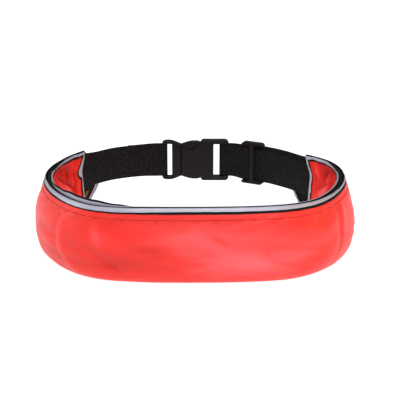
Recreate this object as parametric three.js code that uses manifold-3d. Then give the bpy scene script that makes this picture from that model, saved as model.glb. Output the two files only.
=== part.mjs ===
import * as THREE from 'three';
import { mergeVertices } from 'three/addons/utils/BufferGeometryUtils.js';
import Module from 'manifold-3d';

// Inflatable belt pack: a zipped nylon bag that goes round the front of the waist, and a
// webbing belt with a side-release buckle behind. Millimetres, +Z up. The wearer stands in the
// middle of the ring, the front of the bag faces -Y and the buckle is at +Y.

// Bag
const BAG_HEIGHT = 79;
const ZIP_HALF_WIDTH = 161;
const ZIP_FRONT_REACH = 108.5;
const OUTER_BULGE = 19;
const INNER_BULGE = 19;
const PANEL_THICKNESS = 1;
const BOTTOM_TUCK = 3;
const SEAM_INSET = 10;
const SEAM_ALLOWANCE = 4;
const LEFT_LIP_OVERHANG = 31;
const RIGHT_LIP_OVERHANG = 24;
const LEFT_LIP_TOP = 6;
const RIGHT_LIP_TOP = 4;
const LIP_BEND_RADIUS = 85;
const INNER_LIP_SETBACK = 9;
const FULLNESS = 1.0;
const SQUARENESS = 0.8;

// Zip and its edging
const ZIP_WIDTH = 2.8;
const ZIP_THICKNESS = 1.6;
const TRIM_WIDTH = 7.4;
const TRIM_THICKNESS = 0.5;
const STRIPE_WIDTH = 5;
const STRIPE_THICKNESS = 0.35;
const STRIPE_INSET = 0.4;
const TRIM_CLEARANCE = 0.4;

// Belt
const WEBBING_WIDTH = 40;
const WEBBING_THICKNESS = 1.5;
const BELT_HEIGHT = 56.5;
const HIDDEN_BELT_HEIGHT = 42;
const BUCKLE_REACH = 144;
const SEWN_END_LENGTH = 45;
const TAIL_DROP = 5;
const TAIL_INSIDE_BAG = 25;
const BUCKLE_LEAD = 12;
const SPREAD_RUN = 16;
const SINGLE_RUN = 40;

// Buckle, the plug on the left and the socket on the right
const BUCKLE_THICKNESS = 11;
const SOCKET_WALL = 2;
const SLOT_CLEARANCE = 1.2;
const BAR_THICKNESS = 4;
const PLUG_REACH = 40;
const PLUG_BAR_WIDTH = 4.6;
const PLUG_SLOT_WIDTH = 7.3;
const PLUG_RAIL = 3.6;
const SOCKET_REACH = 41;
const SOCKET_BAR_WIDTH = 9.4;
const SOCKET_SLOT_WIDTH = 9;
const SOCKET_RAIL = 4.8;
const SHOULDER_X = 8;
const TIP_X = -16.5;
const PRONG_LENGTH = 28;
const PRONG_WIDTH = 8;

// Three-bar slider
const SLIDER_WIDTH = 28;
const SLIDER_THICKNESS = 9.6;
const SLIDER_RAIL = 2.8;
const SLIDER_BAR_WIDTH = 5;
const SLIDER_FROM_BUCKLE = 39;
const SLIDER_CLEARANCE = 1.4;

// Pull tab sewn inside the left mouth
const TAB_WIDTH = 5;
const TAB_LENGTH = 10;
const TAB_THICKNESS = 1;

const PIECE_GAP = 0.3;
const STATIONS = 52;
const WALL_STEPS = 11;
const END_STEPS = 8;
const TRIM_FOOT = 0.86;

const NYLON_RED = 0xe8322a;
const WEBBING_BLACK = 0x17171a;
const PLASTIC_BLACK = 0x1d1d21;
const REFLECTIVE_SILVER = 0xb9bac4;
const TAB_BROWN = 0x7a4a1c;

// Plan of the zip, from the left end round the front to the right end. Across is a share of
// ZIP_HALF_WIDTH and along a share of ZIP_FRONT_REACH. Outer and inner are the shares of the
// two bulges there, because the pack is full in front and flat at its ends. Lift is the share
// of BAG_HEIGHT by which the bottom stands off the surface, at the two front corners.
const ZIP_PLAN = [
  { across: -0.826, along: 0.885, outer: 0.34, inner: 0.20, lift: 0.000 },
  { across: -0.888, along: 0.741, outer: 0.40, inner: 0.25, lift: 0.000 },
  { across: -0.940, along: 0.560, outer: 0.50, inner: 0.40, lift: 0.000 },
  { across: -0.980, along: 0.370, outer: 0.62, inner: 0.55, lift: 0.000 },
  { across: -1.000, along: 0.130, outer: 0.74, inner: 0.75, lift: 0.000 },
  { across: -0.980, along: -0.130, outer: 0.80, inner: 0.90, lift: 0.000 },
  { across: -0.932, along: -0.375, outer: 0.82, inner: 1.00, lift: 0.000 },
  { across: -0.862, along: -0.580, outer: 0.82, inner: 1.00, lift: 0.000 },
  { across: -0.765, along: -0.770, outer: 0.76, inner: 1.00, lift: 0.010 },
  { across: -0.640, along: -0.915, outer: 0.68, inner: 1.00, lift: 0.015 },
  { across: -0.465, along: -0.982, outer: 0.70, inner: 1.00, lift: 0.010 },
  { across: -0.210, along: -1.000, outer: 0.74, inner: 1.00, lift: 0.000 },
  { across: 0.000, along: -1.000, outer: 0.76, inner: 1.00, lift: 0.000 },
  { across: 0.215, along: -0.990, outer: 0.76, inner: 1.00, lift: 0.000 },
  { across: 0.400, along: -0.968, outer: 0.74, inner: 1.00, lift: 0.000 },
  { across: 0.580, along: -0.920, outer: 0.72, inner: 1.00, lift: 0.000 },
  { across: 0.710, along: -0.835, outer: 0.74, inner: 1.00, lift: 0.010 },
  { across: 0.800, along: -0.718, outer: 0.80, inner: 1.00, lift: 0.015 },
  { across: 0.880, along: -0.535, outer: 0.84, inner: 1.00, lift: 0.000 },
  { across: 0.946, along: -0.310, outer: 0.84, inner: 1.00, lift: 0.000 },
  { across: 0.984, along: -0.090, outer: 0.80, inner: 0.90, lift: 0.000 },
  { across: 0.998, along: 0.125, outer: 0.72, inner: 0.75, lift: 0.000 },
  { across: 0.985, along: 0.340, outer: 0.60, inner: 0.55, lift: 0.000 },
  { across: 0.945, along: 0.520, outer: 0.48, inner: 0.40, lift: 0.000 },
  { across: 0.885, along: 0.645, outer: 0.40, inner: 0.25, lift: 0.000 },
  { across: 0.818, along: 0.745, outer: 0.34, inner: 0.20, lift: 0.000 },
];

// Free stretches of the belt between the bag's mouths and the buckle. Across is a share of
// ZIP_HALF_WIDTH and along a share of BUCKLE_REACH; lift is a share of TAIL_DROP.
const LEFT_STRAP = [
  { across: -0.394, along: 0.978, lift: 0.0 },
  { across: -0.525, along: 0.930, lift: 0.0 },
  { across: -0.644, along: 0.860, lift: -0.1 },
  { across: -0.733, along: 0.790, lift: -0.3 },
];
const RIGHT_STRAP = [
  { across: 0.745, along: 0.645, lift: 0.2 },
  { across: 0.688, along: 0.708, lift: 0.3 },
  { across: 0.620, along: 0.790, lift: 0.3 },
  { across: 0.530, along: 0.868, lift: 0.3 },
  { across: 0.439, along: 0.930, lift: 0.25 },
  { across: 0.349, along: 0.972, lift: 0.1 },
];

// Folds and dents of the bag. Along runs from the left end to the right end of a panel and down
// from its zip edge to the bottom, both as shares. Length, width and depth are shares of
// BAG_HEIGHT, turn is in degrees from the panel's length, and a negative depth is a dent.
const FOLDS = [
  { panel: 'outer', along: 0.50, down: 0.30, length: 1.30, width: 0.16, turn: 4, depth: -0.020 },
  { panel: 'outer', along: 0.42, down: 0.62, length: 0.90, width: 0.14, turn: -8, depth: -0.024 },
  { panel: 'outer', along: 0.55, down: 0.60, length: 0.80, width: 0.15, turn: 6, depth: 0.020 },
  { panel: 'outer', along: 0.29, down: 0.72, length: 0.55, width: 0.15, turn: -30, depth: -0.030 },
  { panel: 'outer', along: 0.70, down: 0.72, length: 0.60, width: 0.16, turn: 24, depth: -0.030 },
  { panel: 'outer', along: 0.21, down: 0.40, length: 0.45, width: 0.16, turn: 60, depth: 0.022 },
  { panel: 'outer', along: 0.80, down: 0.45, length: 0.50, width: 0.16, turn: -55, depth: 0.022 },
  { panel: 'inner', along: 0.035, down: 0.50, length: 0.42, width: 0.13, turn: 48, depth: -0.045 },
  { panel: 'inner', along: 0.085, down: 0.42, length: 0.40, width: 0.12, turn: 55, depth: 0.040 },
  { panel: 'inner', along: 0.130, down: 0.55, length: 0.45, width: 0.14, turn: 40, depth: -0.040 },
  { panel: 'inner', along: 0.965, down: 0.50, length: 0.42, width: 0.13, turn: -48, depth: -0.045 },
  { panel: 'inner', along: 0.915, down: 0.42, length: 0.40, width: 0.12, turn: -55, depth: 0.040 },
  { panel: 'inner', along: 0.870, down: 0.55, length: 0.45, width: 0.14, turn: -40, depth: -0.040 },
  { panel: 'inner', along: 0.40, down: 0.45, length: 0.80, width: 0.16, turn: 10, depth: -0.030 },
  { panel: 'inner', along: 0.62, down: 0.50, length: 0.80, width: 0.16, turn: -12, depth: -0.030 },
];

const LIP_HALF_GAP = ZIP_WIDTH / 2 + PIECE_GAP + PANEL_THICKNESS;

const lerp = THREE.MathUtils.lerp;

// Closed slab between two grids of points, used for every sheet, tape and strap
function slab(rows, columns, frontPoint, backPoint) {
  const positions = [];
  const index = [];
  for (const point of [frontPoint, backPoint]) {
    for (let i = 0; i <= rows; i += 1) {
      for (let j = 0; j <= columns; j += 1) {
        positions.push(...point(i, j).toArray());
      }
    }
  }
  const front = (i, j) => i * (columns + 1) + j;
  const back = (i, j) => (rows + 1) * (columns + 1) + front(i, j);
  const quad = (a, b, c, d) => index.push(a, b, c, a, c, d);
  for (let i = 0; i < rows; i += 1) {
    for (let j = 0; j < columns; j += 1) {
      quad(front(i, j), front(i + 1, j), front(i + 1, j + 1), front(i, j + 1));
      quad(back(i, j), back(i, j + 1), back(i + 1, j + 1), back(i + 1, j));
    }
    quad(front(i, 0), back(i, 0), back(i + 1, 0), front(i + 1, 0));
    quad(front(i, columns), front(i + 1, columns), back(i + 1, columns), back(i, columns));
  }
  for (let j = 0; j < columns; j += 1) {
    quad(front(0, j), front(0, j + 1), back(0, j + 1), back(0, j));
    quad(front(rows, j), back(rows, j), back(rows, j + 1), front(rows, j + 1));
  }
  const geometry = new THREE.BufferGeometry();
  geometry.setAttribute('position', new THREE.Float32BufferAttribute(positions, 3));
  geometry.setIndex(signedVolume(positions, index) < 0 ? index.reverse() : index);
  return geometry;
}

function signedVolume(positions, index) {
  const corner = (k) => new THREE.Vector3().fromArray(positions, 3 * index[k]);
  let volume = 0;
  for (let k = 0; k < index.length; k += 3) {
    volume += corner(k).dot(corner(k + 1).cross(corner(k + 2))) / 6;
  }
  return volume;
}

// Plan curve with its length measured, which goes on past both ends and bends inwards there
function measuredPath(points, endRadius) {
  const curve = new THREE.CatmullRomCurve3(points, false, 'centripetal');
  const stepsPerPoint = 24;
  const steps = stepsPerPoint * (points.length - 1);
  const samples = curve.getPoints(steps);
  const distances = [0];
  for (let i = 1; i <= steps; i += 1) {
    distances.push(distances[i - 1] + samples[i].distanceTo(samples[i - 1]));
  }
  const length = distances[steps];
  const at = (distance) => {
    const inside = THREE.MathUtils.clamp(distance, 0, length);
    const i = Math.min(steps - 1, Math.max(0, distances.findIndex((d) => d >= inside) - 1));
    const share = (inside - distances[i]) / (distances[i + 1] - distances[i]);
    const t = (i + share) / steps;
    const tangent = curve.getTangent(t);
    const outward = new THREE.Vector3(tangent.y, -tangent.x, 0).normalize();
    const point = curve.getPoint(t);
    if (distance !== inside) {
      const turn = (distance - inside) / endRadius;
      point.addScaledVector(tangent, endRadius * Math.sin(turn));
      point.addScaledVector(outward, -endRadius * (1 - Math.cos(turn)));
      outward.multiplyScalar(Math.cos(turn)).addScaledVector(tangent, Math.sin(turn));
    }
    return { point, outward, t };
  };
  const distanceTo = (pointIndex) => distances[stepsPerPoint * pointIndex];
  return { length, at, distanceTo };
}

const zipPath = measuredPath(ZIP_PLAN.map((row) => (
  new THREE.Vector3(row.across * ZIP_HALF_WIDTH, row.along * ZIP_FRONT_REACH, 0)
)), LIP_BEND_RADIUS);

// A column of the plan table at a place along the zip
function planShare(column, t) {
  const place = t * (ZIP_PLAN.length - 1);
  const i = Math.min(ZIP_PLAN.length - 2, Math.floor(place));
  const blend = THREE.MathUtils.smoothstep(place - i, 0, 1);
  return lerp(ZIP_PLAN[i][column], ZIP_PLAN[i + 1][column], blend);
}

// A wall's section is a teardrop: narrow at the zip, fullest low down, round at the bottom
function teardrop(angle) {
  return Math.max(0, Math.sin(angle)) ** SQUARENESS * Math.sin(angle / 2) ** FULLNESS;
}
const TEARDROP_PEAK = Math.max(...Array.from({ length: 91 }, (_, i) => teardrop(i * Math.PI / 90)));
const teardropAtHeight = (share) => teardrop(Math.acos(2 * share - 1)) / TEARDROP_PEAK;

function foldDepth(panel, along, down, panelLength) {
  let depth = 0;
  for (const fold of FOLDS.filter((row) => row.panel === panel)) {
    const dx = (along - fold.along) * panelLength;
    const dy = (down - fold.down) * BAG_HEIGHT;
    const turn = THREE.MathUtils.degToRad(fold.turn);
    const run = (dx * Math.cos(turn) + dy * Math.sin(turn)) / (fold.length * BAG_HEIGHT);
    const side = (dy * Math.cos(turn) - dx * Math.sin(turn)) / (fold.width * BAG_HEIGHT);
    depth += fold.depth * BAG_HEIGHT * Math.exp(-run * run - side * side);
  }
  // The folds die away at the zip edge, at the bottom and at the two end edges
  const edges = Math.sin(Math.PI * THREE.MathUtils.clamp(down, 0, 1));
  const fromEnd = Math.min(along, 1 - along) * panelLength;
  return depth * edges * THREE.MathUtils.smoothstep(fromEnd, TRIM_WIDTH, 3 * TRIM_WIDTH);
}

// The outer panel's end edges bow out past the zip's ends and the inner panel's lie short of
// them, so that a panel's length along the zip depends on the height
function endEdges(panel, height) {
  if (panel === 'inner') {
    const setback = -INNER_LIP_SETBACK * THREE.MathUtils.smoothstep(1 - height, 0, 0.3);
    return { left: setback, right: setback };
  }
  const bow = Math.sin(Math.PI * height);
  const top = THREE.MathUtils.smoothstep(height, 0.6, 1);
  return {
    left: LEFT_LIP_OVERHANG * bow + LEFT_LIP_TOP * top,
    right: RIGHT_LIP_OVERHANG * bow + RIGHT_LIP_TOP * top,
  };
}

// A point of the outside of a panel. Down is 0 at the zip and 1 at the bottom, and the outer
// panel goes on past 1 as the flat bottom strip, as far as the seam with the inner panel.
function panelPoint(panel, along, down) {
  const angle = Math.PI * Math.min(1, down);
  const height = (1 + Math.cos(angle)) / 2;
  const { left, right } = endEdges(panel, height);
  const panelLength = zipPath.length + left + right;
  const { point, outward, t } = zipPath.at(along * panelLength - left);
  const reach = teardrop(angle) / TEARDROP_PEAK * planShare(panel, t);
  const fold = foldDepth(panel, along, down, panelLength);
  const lift = planShare('lift', t) * BAG_HEIGHT;
  let offset = 0;
  let z = 0;
  if (panel === 'outer') {
    const bottom = 2 * LIP_HALF_GAP + SEAM_INSET + SEAM_ALLOWANCE - BOTTOM_TUCK;
    const tuck = BOTTOM_TUCK * (1 - height) ** 2 + bottom * Math.max(0, down - 1);
    offset = LIP_HALF_GAP + OUTER_BULGE * reach + fold - tuck;
    z = lerp(lift, BAG_HEIGHT, height);
  } else {
    const lowest = lift + PANEL_THICKNESS + PIECE_GAP;
    const inset = SEAM_INSET * planShare('inner', t) * (1 - height) ** 2;
    offset = -(LIP_HALF_GAP + INNER_BULGE * reach + fold + inset);
    z = lerp(lowest, BAG_HEIGHT, height);
  }
  return point.clone().addScaledVector(outward, offset).setZ(z);
}

// The same point moved outwards along the panel's own normal
function liftedPoint(panel, along, down, lift) {
  const step = 0.002;
  const lower = panel === 'outer' ? 2 : 1;
  const a = panelPoint(panel, Math.max(0, along - step), down);
  const b = panelPoint(panel, Math.min(1, along + step), down);
  const c = panelPoint(panel, along, Math.max(0, down - step));
  const d = panelPoint(panel, along, Math.min(lower, down + step));
  const normal = b.sub(a).cross(d.sub(c)).normalize();
  normal.multiplyScalar(panel === 'outer' ? -1 : 1);
  return panelPoint(panel, along, down).addScaledVector(normal, lift);
}

// Stations lie closer together at the ends, where the folds are
const stationShare = (i) => {
  const share = i / STATIONS;
  return share - 0.5 * Math.sin(2 * Math.PI * share) / (2 * Math.PI);
};

function panelGeometry(panel) {
  const bottomSteps = panel === 'outer' ? 1 : 0;
  const down = (j) => Math.min(1, j / WALL_STEPS) + Math.max(0, j - WALL_STEPS);
  const surface = (lift) => (i, j) => liftedPoint(panel, stationShare(i), down(j), lift);
  const inside = (i, j) => {
    if (j < WALL_STEPS || panel === 'inner') return surface(-PANEL_THICKNESS)(i, j);
    const point = panelPoint(panel, stationShare(i), down(j));
    return point.setZ(point.z + PANEL_THICKNESS);
  };
  return slab(STATIONS, WALL_STEPS + bottomSteps, surface(0), inside);
}

// How far down the wall a tape edge lies, for a distance measured on the cloth from the zip
function downAtDistance(panel, along, distance) {
  const step = 0.01;
  let down = 0;
  let walked = 0;
  while (walked < distance && down < 1) {
    const stretch = panelPoint(panel, along, down).distanceTo(panelPoint(panel, along, down + step));
    const part = Math.min(1, (distance - walked) / stretch);
    walked += stretch;
    down += step * part;
  }
  return down;
}

// A tape sewn round a panel's edge: up one end, along the zip and down the other end
function edgeTape(panel, nearEdge, farEdge, bottomLift, topLift) {
  const rows = STATIONS + 2 * END_STEPS;
  const place = (i, inset) => {
    const margin = inset / zipPath.length;
    if (i < END_STEPS) {
      const top = downAtDistance(panel, margin, inset);
      return { along: margin, down: lerp(TRIM_FOOT, top, i / END_STEPS) };
    }
    if (i > rows - END_STEPS) {
      const top = downAtDistance(panel, 1 - margin, inset);
      return { along: 1 - margin, down: lerp(TRIM_FOOT, top, (rows - i) / END_STEPS) };
    }
    const along = lerp(margin, 1 - margin, stationShare(i - END_STEPS));
    return { along, down: downAtDistance(panel, along, inset) };
  };
  const columns = 2;
  const surface = (lift) => (i, j) => {
    const { along, down } = place(i, lerp(nearEdge, farEdge, j / columns));
    return liftedPoint(panel, along, down, lift);
  };
  return slab(rows, columns, surface(topLift), surface(bottomLift));
}

function trimGeometry(panel) {
  return edgeTape(panel, 0, TRIM_WIDTH, TRIM_CLEARANCE, TRIM_CLEARANCE + TRIM_THICKNESS);
}

function stripeGeometry(panel) {
  const base = TRIM_CLEARANCE + TRIM_THICKNESS + PIECE_GAP;
  return edgeTape(panel, STRIPE_INSET, STRIPE_INSET + STRIPE_WIDTH, base, base + STRIPE_THICKNESS);
}

// The closed zip: a flat strip between the two panels' top edges
function zipGeometry() {
  const level = (z) => (i, j) => {
    const { point, outward } = zipPath.at(stationShare(i) * zipPath.length);
    return point.clone().addScaledVector(outward, (j - 0.5) * ZIP_WIDTH).setZ(z);
  };
  return slab(STATIONS, 1, level(BAG_HEIGHT), level(BAG_HEIGHT - ZIP_THICKNESS));
}

// A pull tab on the inside of the outer panel, low in the left mouth
function tabGeometry() {
  const steps = 3;
  const surface = (lift) => (i, j) => {
    const along = (LEFT_LIP_OVERHANG / 3 + j * TAB_WIDTH) / zipPath.length;
    const down = 0.57 + i / steps * TAB_LENGTH / BAG_HEIGHT;
    return liftedPoint('outer', along, down, lift);
  };
  const seat = PANEL_THICKNESS + 2 * PIECE_GAP;
  return slab(steps, 1, surface(-seat), surface(-seat - TAB_THICKNESS));
}

// Middle line of the belt, from the plug's bar round through the bag to the socket's bar. It
// runs inside the bag along the inner panel, low enough to clear the narrow top.
const BAR_RADIUS = BAR_THICKNESS / 2;
const PLUG_TURN_X = -PLUG_REACH + PLUG_BAR_WIDTH - BAR_RADIUS;
const SOCKET_TURN_X = SOCKET_REACH - SOCKET_BAR_WIDTH + BAR_RADIUS;

function hiddenBeltPoint(share) {
  const { point, outward, t } = zipPath.at(share * zipPath.length);
  const sunk = Math.sin(Math.PI * share) ** 0.5;
  const z = lerp(BELT_HEIGHT, HIDDEN_BELT_HEIGHT, sunk);
  const topShare = Math.min(0.98, (z + WEBBING_WIDTH / 2) / BAG_HEIGHT);
  const wall = LIP_HALF_GAP + INNER_BULGE * planShare('inner', t) * teardropAtHeight(topShare);
  const clear = PANEL_THICKNESS + WEBBING_THICKNESS + 3 * PIECE_GAP;
  return point.clone().addScaledVector(outward, -Math.max(0, wall - clear)).setZ(z);
}

function beltPoints() {
  const strapPoint = (row) => new THREE.Vector3(
    row.across * ZIP_HALF_WIDTH, row.along * BUCKLE_REACH, BELT_HEIGHT + row.lift * TAIL_DROP);
  const lead = (x) => new THREE.Vector3(x, BUCKLE_REACH, BELT_HEIGHT);
  const hiddenSteps = 24;
  const hidden = Array.from({ length: hiddenSteps + 1 }, (_, i) => (
    hiddenBeltPoint(i / hiddenSteps)));
  return [
    lead(PLUG_TURN_X),
    lead(-PLUG_REACH - BUCKLE_LEAD / 2),
    ...LEFT_STRAP.map(strapPoint),
    ...hidden,
    ...RIGHT_STRAP.map(strapPoint),
    lead(SOCKET_REACH + BUCKLE_LEAD / 2),
    lead(SOCKET_TURN_X),
  ];
}
const beltPath = measuredPath(beltPoints(), LIP_BEND_RADIUS);

// Two layers lie a bar apart at the buckle and face to face further on
const BAR_SPREAD = BAR_THICKNESS + 2 * PIECE_GAP + WEBBING_THICKNESS;
const LAYER_SPREAD = WEBBING_THICKNESS + PIECE_GAP;
const fade = (value, start, run) => THREE.MathUtils.smoothstep(value, start, start + run);

function layerSpread(fromBar) {
  const bar = Math.max(PLUG_BAR_WIDTH, SOCKET_BAR_WIDTH);
  return lerp(BAR_SPREAD, LAYER_SPREAD, fade(fromBar, bar, SPREAD_RUN));
}

const rightMouthPoint = beltPoints().length - 2 - RIGHT_STRAP.length;
const TAIL_LENGTH = beltPath.length - beltPath.distanceTo(rightMouthPoint) + TAIL_INSIDE_BAG;

function mainLayer(distance) {
  const { point, outward } = beltPath.at(distance);
  const toSocket = beltPath.length - distance;
  const left = -layerSpread(distance) / 2 * (1 - fade(distance, SEWN_END_LENGTH, SINGLE_RUN));
  const right = layerSpread(toSocket) / 2 * (1 - fade(toSocket, TAIL_LENGTH, SINGLE_RUN));
  return point.clone().addScaledVector(outward, left + right);
}

function sewnEnd(distance) {
  const { point, outward } = beltPath.at(distance);
  return point.clone().addScaledVector(outward, layerSpread(distance) / 2);
}

function tailLayer(toSocket) {
  const { point, outward } = beltPath.at(beltPath.length - toSocket);
  const drop = TAIL_DROP * fade(toSocket, SOCKET_BAR_WIDTH, SLIDER_FROM_BUCKLE - SLIDER_WIDTH / 2);
  point.setZ(point.z - drop);
  return point.addScaledVector(outward, -layerSpread(toSocket) / 2);
}

// Half turn of the webbing round an upright bar, as seen from above
function halfTurn(centreX, slotSide) {
  const steps = 8;
  const radius = BAR_SPREAD / 2;
  return Array.from({ length: steps - 1 }, (_, i) => {
    const angle = Math.PI * (i + 1) / steps;
    return new THREE.Vector3(
      centreX + slotSide * radius * Math.sin(angle),
      BUCKLE_REACH + radius * Math.cos(angle),
      BELT_HEIGHT);
  });
}

function webbingLine() {
  const run = (start, end, step, layer) => {
    const steps = Math.max(1, Math.round(Math.abs(end - start) / step));
    return Array.from({ length: steps + 1 }, (_, i) => layer(lerp(start, end, i / steps)));
  };
  const near = 30;
  const bend = 5;
  const open = 13;
  return [
    ...run(SEWN_END_LENGTH, 0, bend, sewnEnd),
    ...halfTurn(PLUG_TURN_X, 1),
    ...run(0, near - bend, bend, mainLayer),
    ...run(near, beltPath.length - near, open, mainLayer),
    ...run(beltPath.length - near + bend, beltPath.length, bend, mainLayer),
    ...halfTurn(SOCKET_TURN_X, -1),
    ...run(0, near - bend, bend, tailLayer),
    ...run(near, TAIL_LENGTH, open, tailLayer),
  ];
}

function webbingGeometry() {
  const line = webbingLine();
  const side = (offset) => (i, j) => {
    const before = line[Math.max(0, i - 1)];
    const after = line[Math.min(line.length - 1, i + 1)];
    const across = new THREE.Vector3(after.y - before.y, before.x - after.x, 0).normalize();
    const point = line[i].clone().addScaledVector(across, offset);
    return point.setZ(point.z + (j - 0.5) * WEBBING_WIDTH);
  };
  return slab(line.length - 1, 1, side(WEBBING_THICKNESS / 2), side(-WEBBING_THICKNESS / 2));
}

// Solid joining and cutting for the hard pieces
const wasm = await Module();
wasm.setup();

function solidFrom(geometry) {
  const bare = geometry.index ? geometry.clone() : geometry;
  bare.deleteAttribute('normal');
  bare.deleteAttribute('uv');
  const merged = mergeVertices(bare, 1e-4);
  return new wasm.Manifold(new wasm.Mesh({
    numProp: 3,
    vertProperties: new Float32Array(merged.attributes.position.array),
    triVerts: new Uint32Array(merged.index.array),
  }));
}

function geometryFrom(solid) {
  const mesh = solid.getMesh();
  const geometry = new THREE.BufferGeometry();
  geometry.setAttribute('position', new THREE.Float32BufferAttribute(mesh.vertProperties, 3));
  geometry.setIndex(Array.from(mesh.triVerts));
  return geometry;
}

// A plate drawn in the plane of the belt, X across and Z up, with its thickness along Y
function plate(outline, thickness, bevel, y = 0) {
  const geometry = new THREE.ExtrudeGeometry(outline, {
    depth: thickness - 2 * bevel,
    bevelEnabled: bevel > 0,
    bevelThickness: bevel,
    bevelSize: bevel,
    bevelOffset: -bevel,
    bevelSegments: 2,
    curveSegments: 8,
  });
  geometry.translate(0, 0, bevel - thickness / 2);
  geometry.rotateX(Math.PI / 2);
  geometry.translate(0, y, 0);
  return solidFrom(geometry);
}

function block(left, right, halfHeight, thickness, y = 0) {
  const geometry = new THREE.BoxGeometry(right - left, thickness, 2 * halfHeight);
  geometry.translate((left + right) / 2, y, 0);
  return solidFrom(geometry);
}

// Upright bar with rounded sides, which the webbing goes round
function roundedBar(left, right, halfHeight) {
  const outline = new THREE.Shape();
  outline.absarc(right - BAR_RADIUS, 0, BAR_RADIUS, -Math.PI / 2, Math.PI / 2);
  outline.absarc(left + BAR_RADIUS, 0, BAR_RADIUS, Math.PI / 2, 3 * Math.PI / 2);
  const geometry = new THREE.ExtrudeGeometry(outline, {
    depth: 2 * halfHeight,
    bevelEnabled: false,
    curveSegments: 6,
  });
  geometry.translate(0, 0, -halfHeight);
  return solidFrom(geometry);
}

// An outline drawn once above the belt's middle and mirrored below it
function mirroredOutline(upper) {
  const outline = new THREE.Shape();
  const lower = upper.map(([x, z]) => [x, -z]).reverse();
  [...upper, ...lower].forEach(([x, z], i) => (i === 0 ? outline.moveTo(x, z) : outline.lineTo(x, z)));
  outline.closePath();
  return outline;
}

// Points of a smooth curve through a few named places
function smooth(points, steps = 3) {
  const curve = new THREE.SplineCurve(points.map(([x, z]) => new THREE.Vector2(x, z)));
  return curve.getPoints(steps * (points.length - 1)).map((point) => [point.x, point.y]);
}

const SLOT_HALF_HEIGHT = (WEBBING_WIDTH + SLOT_CLEARANCE) / 2;
const PLUG_HALF_HEIGHT = SLOT_HALF_HEIGHT + PLUG_RAIL;
const SOCKET_HALF_HEIGHT = SLOT_HALF_HEIGHT + SOCKET_RAIL;
const CAVITY_HALF_THICKNESS = BUCKLE_THICKNESS / 2 - SOCKET_WALL;
const PLUG_SLOT_LEFT = -PLUG_REACH + PLUG_BAR_WIDTH;
const PLUG_SLOT_RIGHT = PLUG_SLOT_LEFT + PLUG_SLOT_WIDTH;
const SOCKET_SLOT_RIGHT = SOCKET_REACH - SOCKET_BAR_WIDTH;
const SOCKET_SLOT_LEFT = SOCKET_SLOT_RIGHT - SOCKET_SLOT_WIDTH;
const ARM_TIP_X = SHOULDER_X - 5 * PIECE_GAP;
const PLUG_THICKNESS = BUCKLE_THICKNESS * 0.78;
const HOOK_BEVEL = 0.7;

// Two plates joined at the right, with the plug's arms showing in a notch above and below
function socketGeometry() {
  const notch = smooth([
    [TIP_X, 0.80 * PLUG_HALF_HEIGHT],
    [TIP_X * 0.36, 0.53 * PLUG_HALF_HEIGHT],
    [SHOULDER_X * 0.85, 0.88 * SOCKET_HALF_HEIGHT],
  ], 5);
  const upper = [
    ...notch,
    [SHOULDER_X + HOOK_BEVEL, 0.985 * SOCKET_HALF_HEIGHT],
    [SHOULDER_X + 3 * HOOK_BEVEL, SOCKET_HALF_HEIGHT],
    [SOCKET_REACH - SOCKET_RAIL * 0.6, SOCKET_HALF_HEIGHT],
    [SOCKET_REACH, SOCKET_HALF_HEIGHT - SOCKET_RAIL * 0.6],
  ];
  const body = plate(mirroredOutline(upper), BUCKLE_THICKNESS, 1);
  const armSpace = block(TIP_X - 1, SHOULDER_X, SOCKET_HALF_HEIGHT + 1, 2 * CAVITY_HALF_THICKNESS);
  const prongEnd = TIP_X + PRONG_LENGTH + 4 * PIECE_GAP;
  const prongSpace = block(TIP_X, prongEnd, PRONG_WIDTH / 2 + PIECE_GAP, 2 * CAVITY_HALF_THICKNESS);
  const slot = block(SOCKET_SLOT_LEFT, SOCKET_REACH + 1, SLOT_HALF_HEIGHT, BUCKLE_THICKNESS + 1);
  const bar = roundedBar(SOCKET_SLOT_RIGHT, SOCKET_REACH, SLOT_HALF_HEIGHT + 1);
  return geometryFrom(body.subtract(armSpace).subtract(prongSpace).subtract(slot).add(bar));
}

// A frame for the webbing, a middle prong and two springy arms that bulge out of the notches
function plugGeometry() {
  const frameOutline = mirroredOutline(smooth([
    [-PLUG_REACH, 0.90 * PLUG_HALF_HEIGHT],
    [-PLUG_REACH * 0.93, PLUG_HALF_HEIGHT],
    [-PLUG_REACH * 0.70, PLUG_HALF_HEIGHT],
    [TIP_X - 2 * PIECE_GAP, 0.82 * PLUG_HALF_HEIGHT],
  ], 4));
  const frame = plate(frameOutline, PLUG_THICKNESS, 1);
  const slot = block(-PLUG_REACH - 1, PLUG_SLOT_RIGHT, SLOT_HALF_HEIGHT, BUCKLE_THICKNESS);
  const bar = roundedBar(-PLUG_REACH, PLUG_SLOT_LEFT, SLOT_HALF_HEIGHT + 1);
  const insertThickness = 2 * (CAVITY_HALF_THICKNESS - PIECE_GAP);
  const root = block(TIP_X - 3, TIP_X + 5, 0.70 * PLUG_HALF_HEIGHT, insertThickness);
  const prong = block(TIP_X, TIP_X + PRONG_LENGTH, PRONG_WIDTH / 2, insertThickness);
  const arm = new THREE.Shape(smooth([
    [TIP_X - 2, 0.80 * PLUG_HALF_HEIGHT],
    [TIP_X * 0.4, 0.96 * PLUG_HALF_HEIGHT],
    [ARM_TIP_X * 0.4, 0.98 * PLUG_HALF_HEIGHT],
    [ARM_TIP_X, 0.90 * PLUG_HALF_HEIGHT],
    [ARM_TIP_X, 0.55 * PLUG_HALF_HEIGHT],
    [TIP_X * 0.5, 0.44 * PLUG_HALF_HEIGHT],
    [TIP_X - 2, 0.40 * PLUG_HALF_HEIGHT],
  ], 3).map(([x, z]) => new THREE.Vector2(x, z)));
  const upperArm = plate(arm, insertThickness, 0);
  const lowerArm = upperArm.mirror([0, 0, 1]);
  const tongue = root.add(prong).add(upperArm).add(lowerArm);
  return geometryFrom(frame.subtract(slot).add(bar).add(tongue));
}

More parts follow.
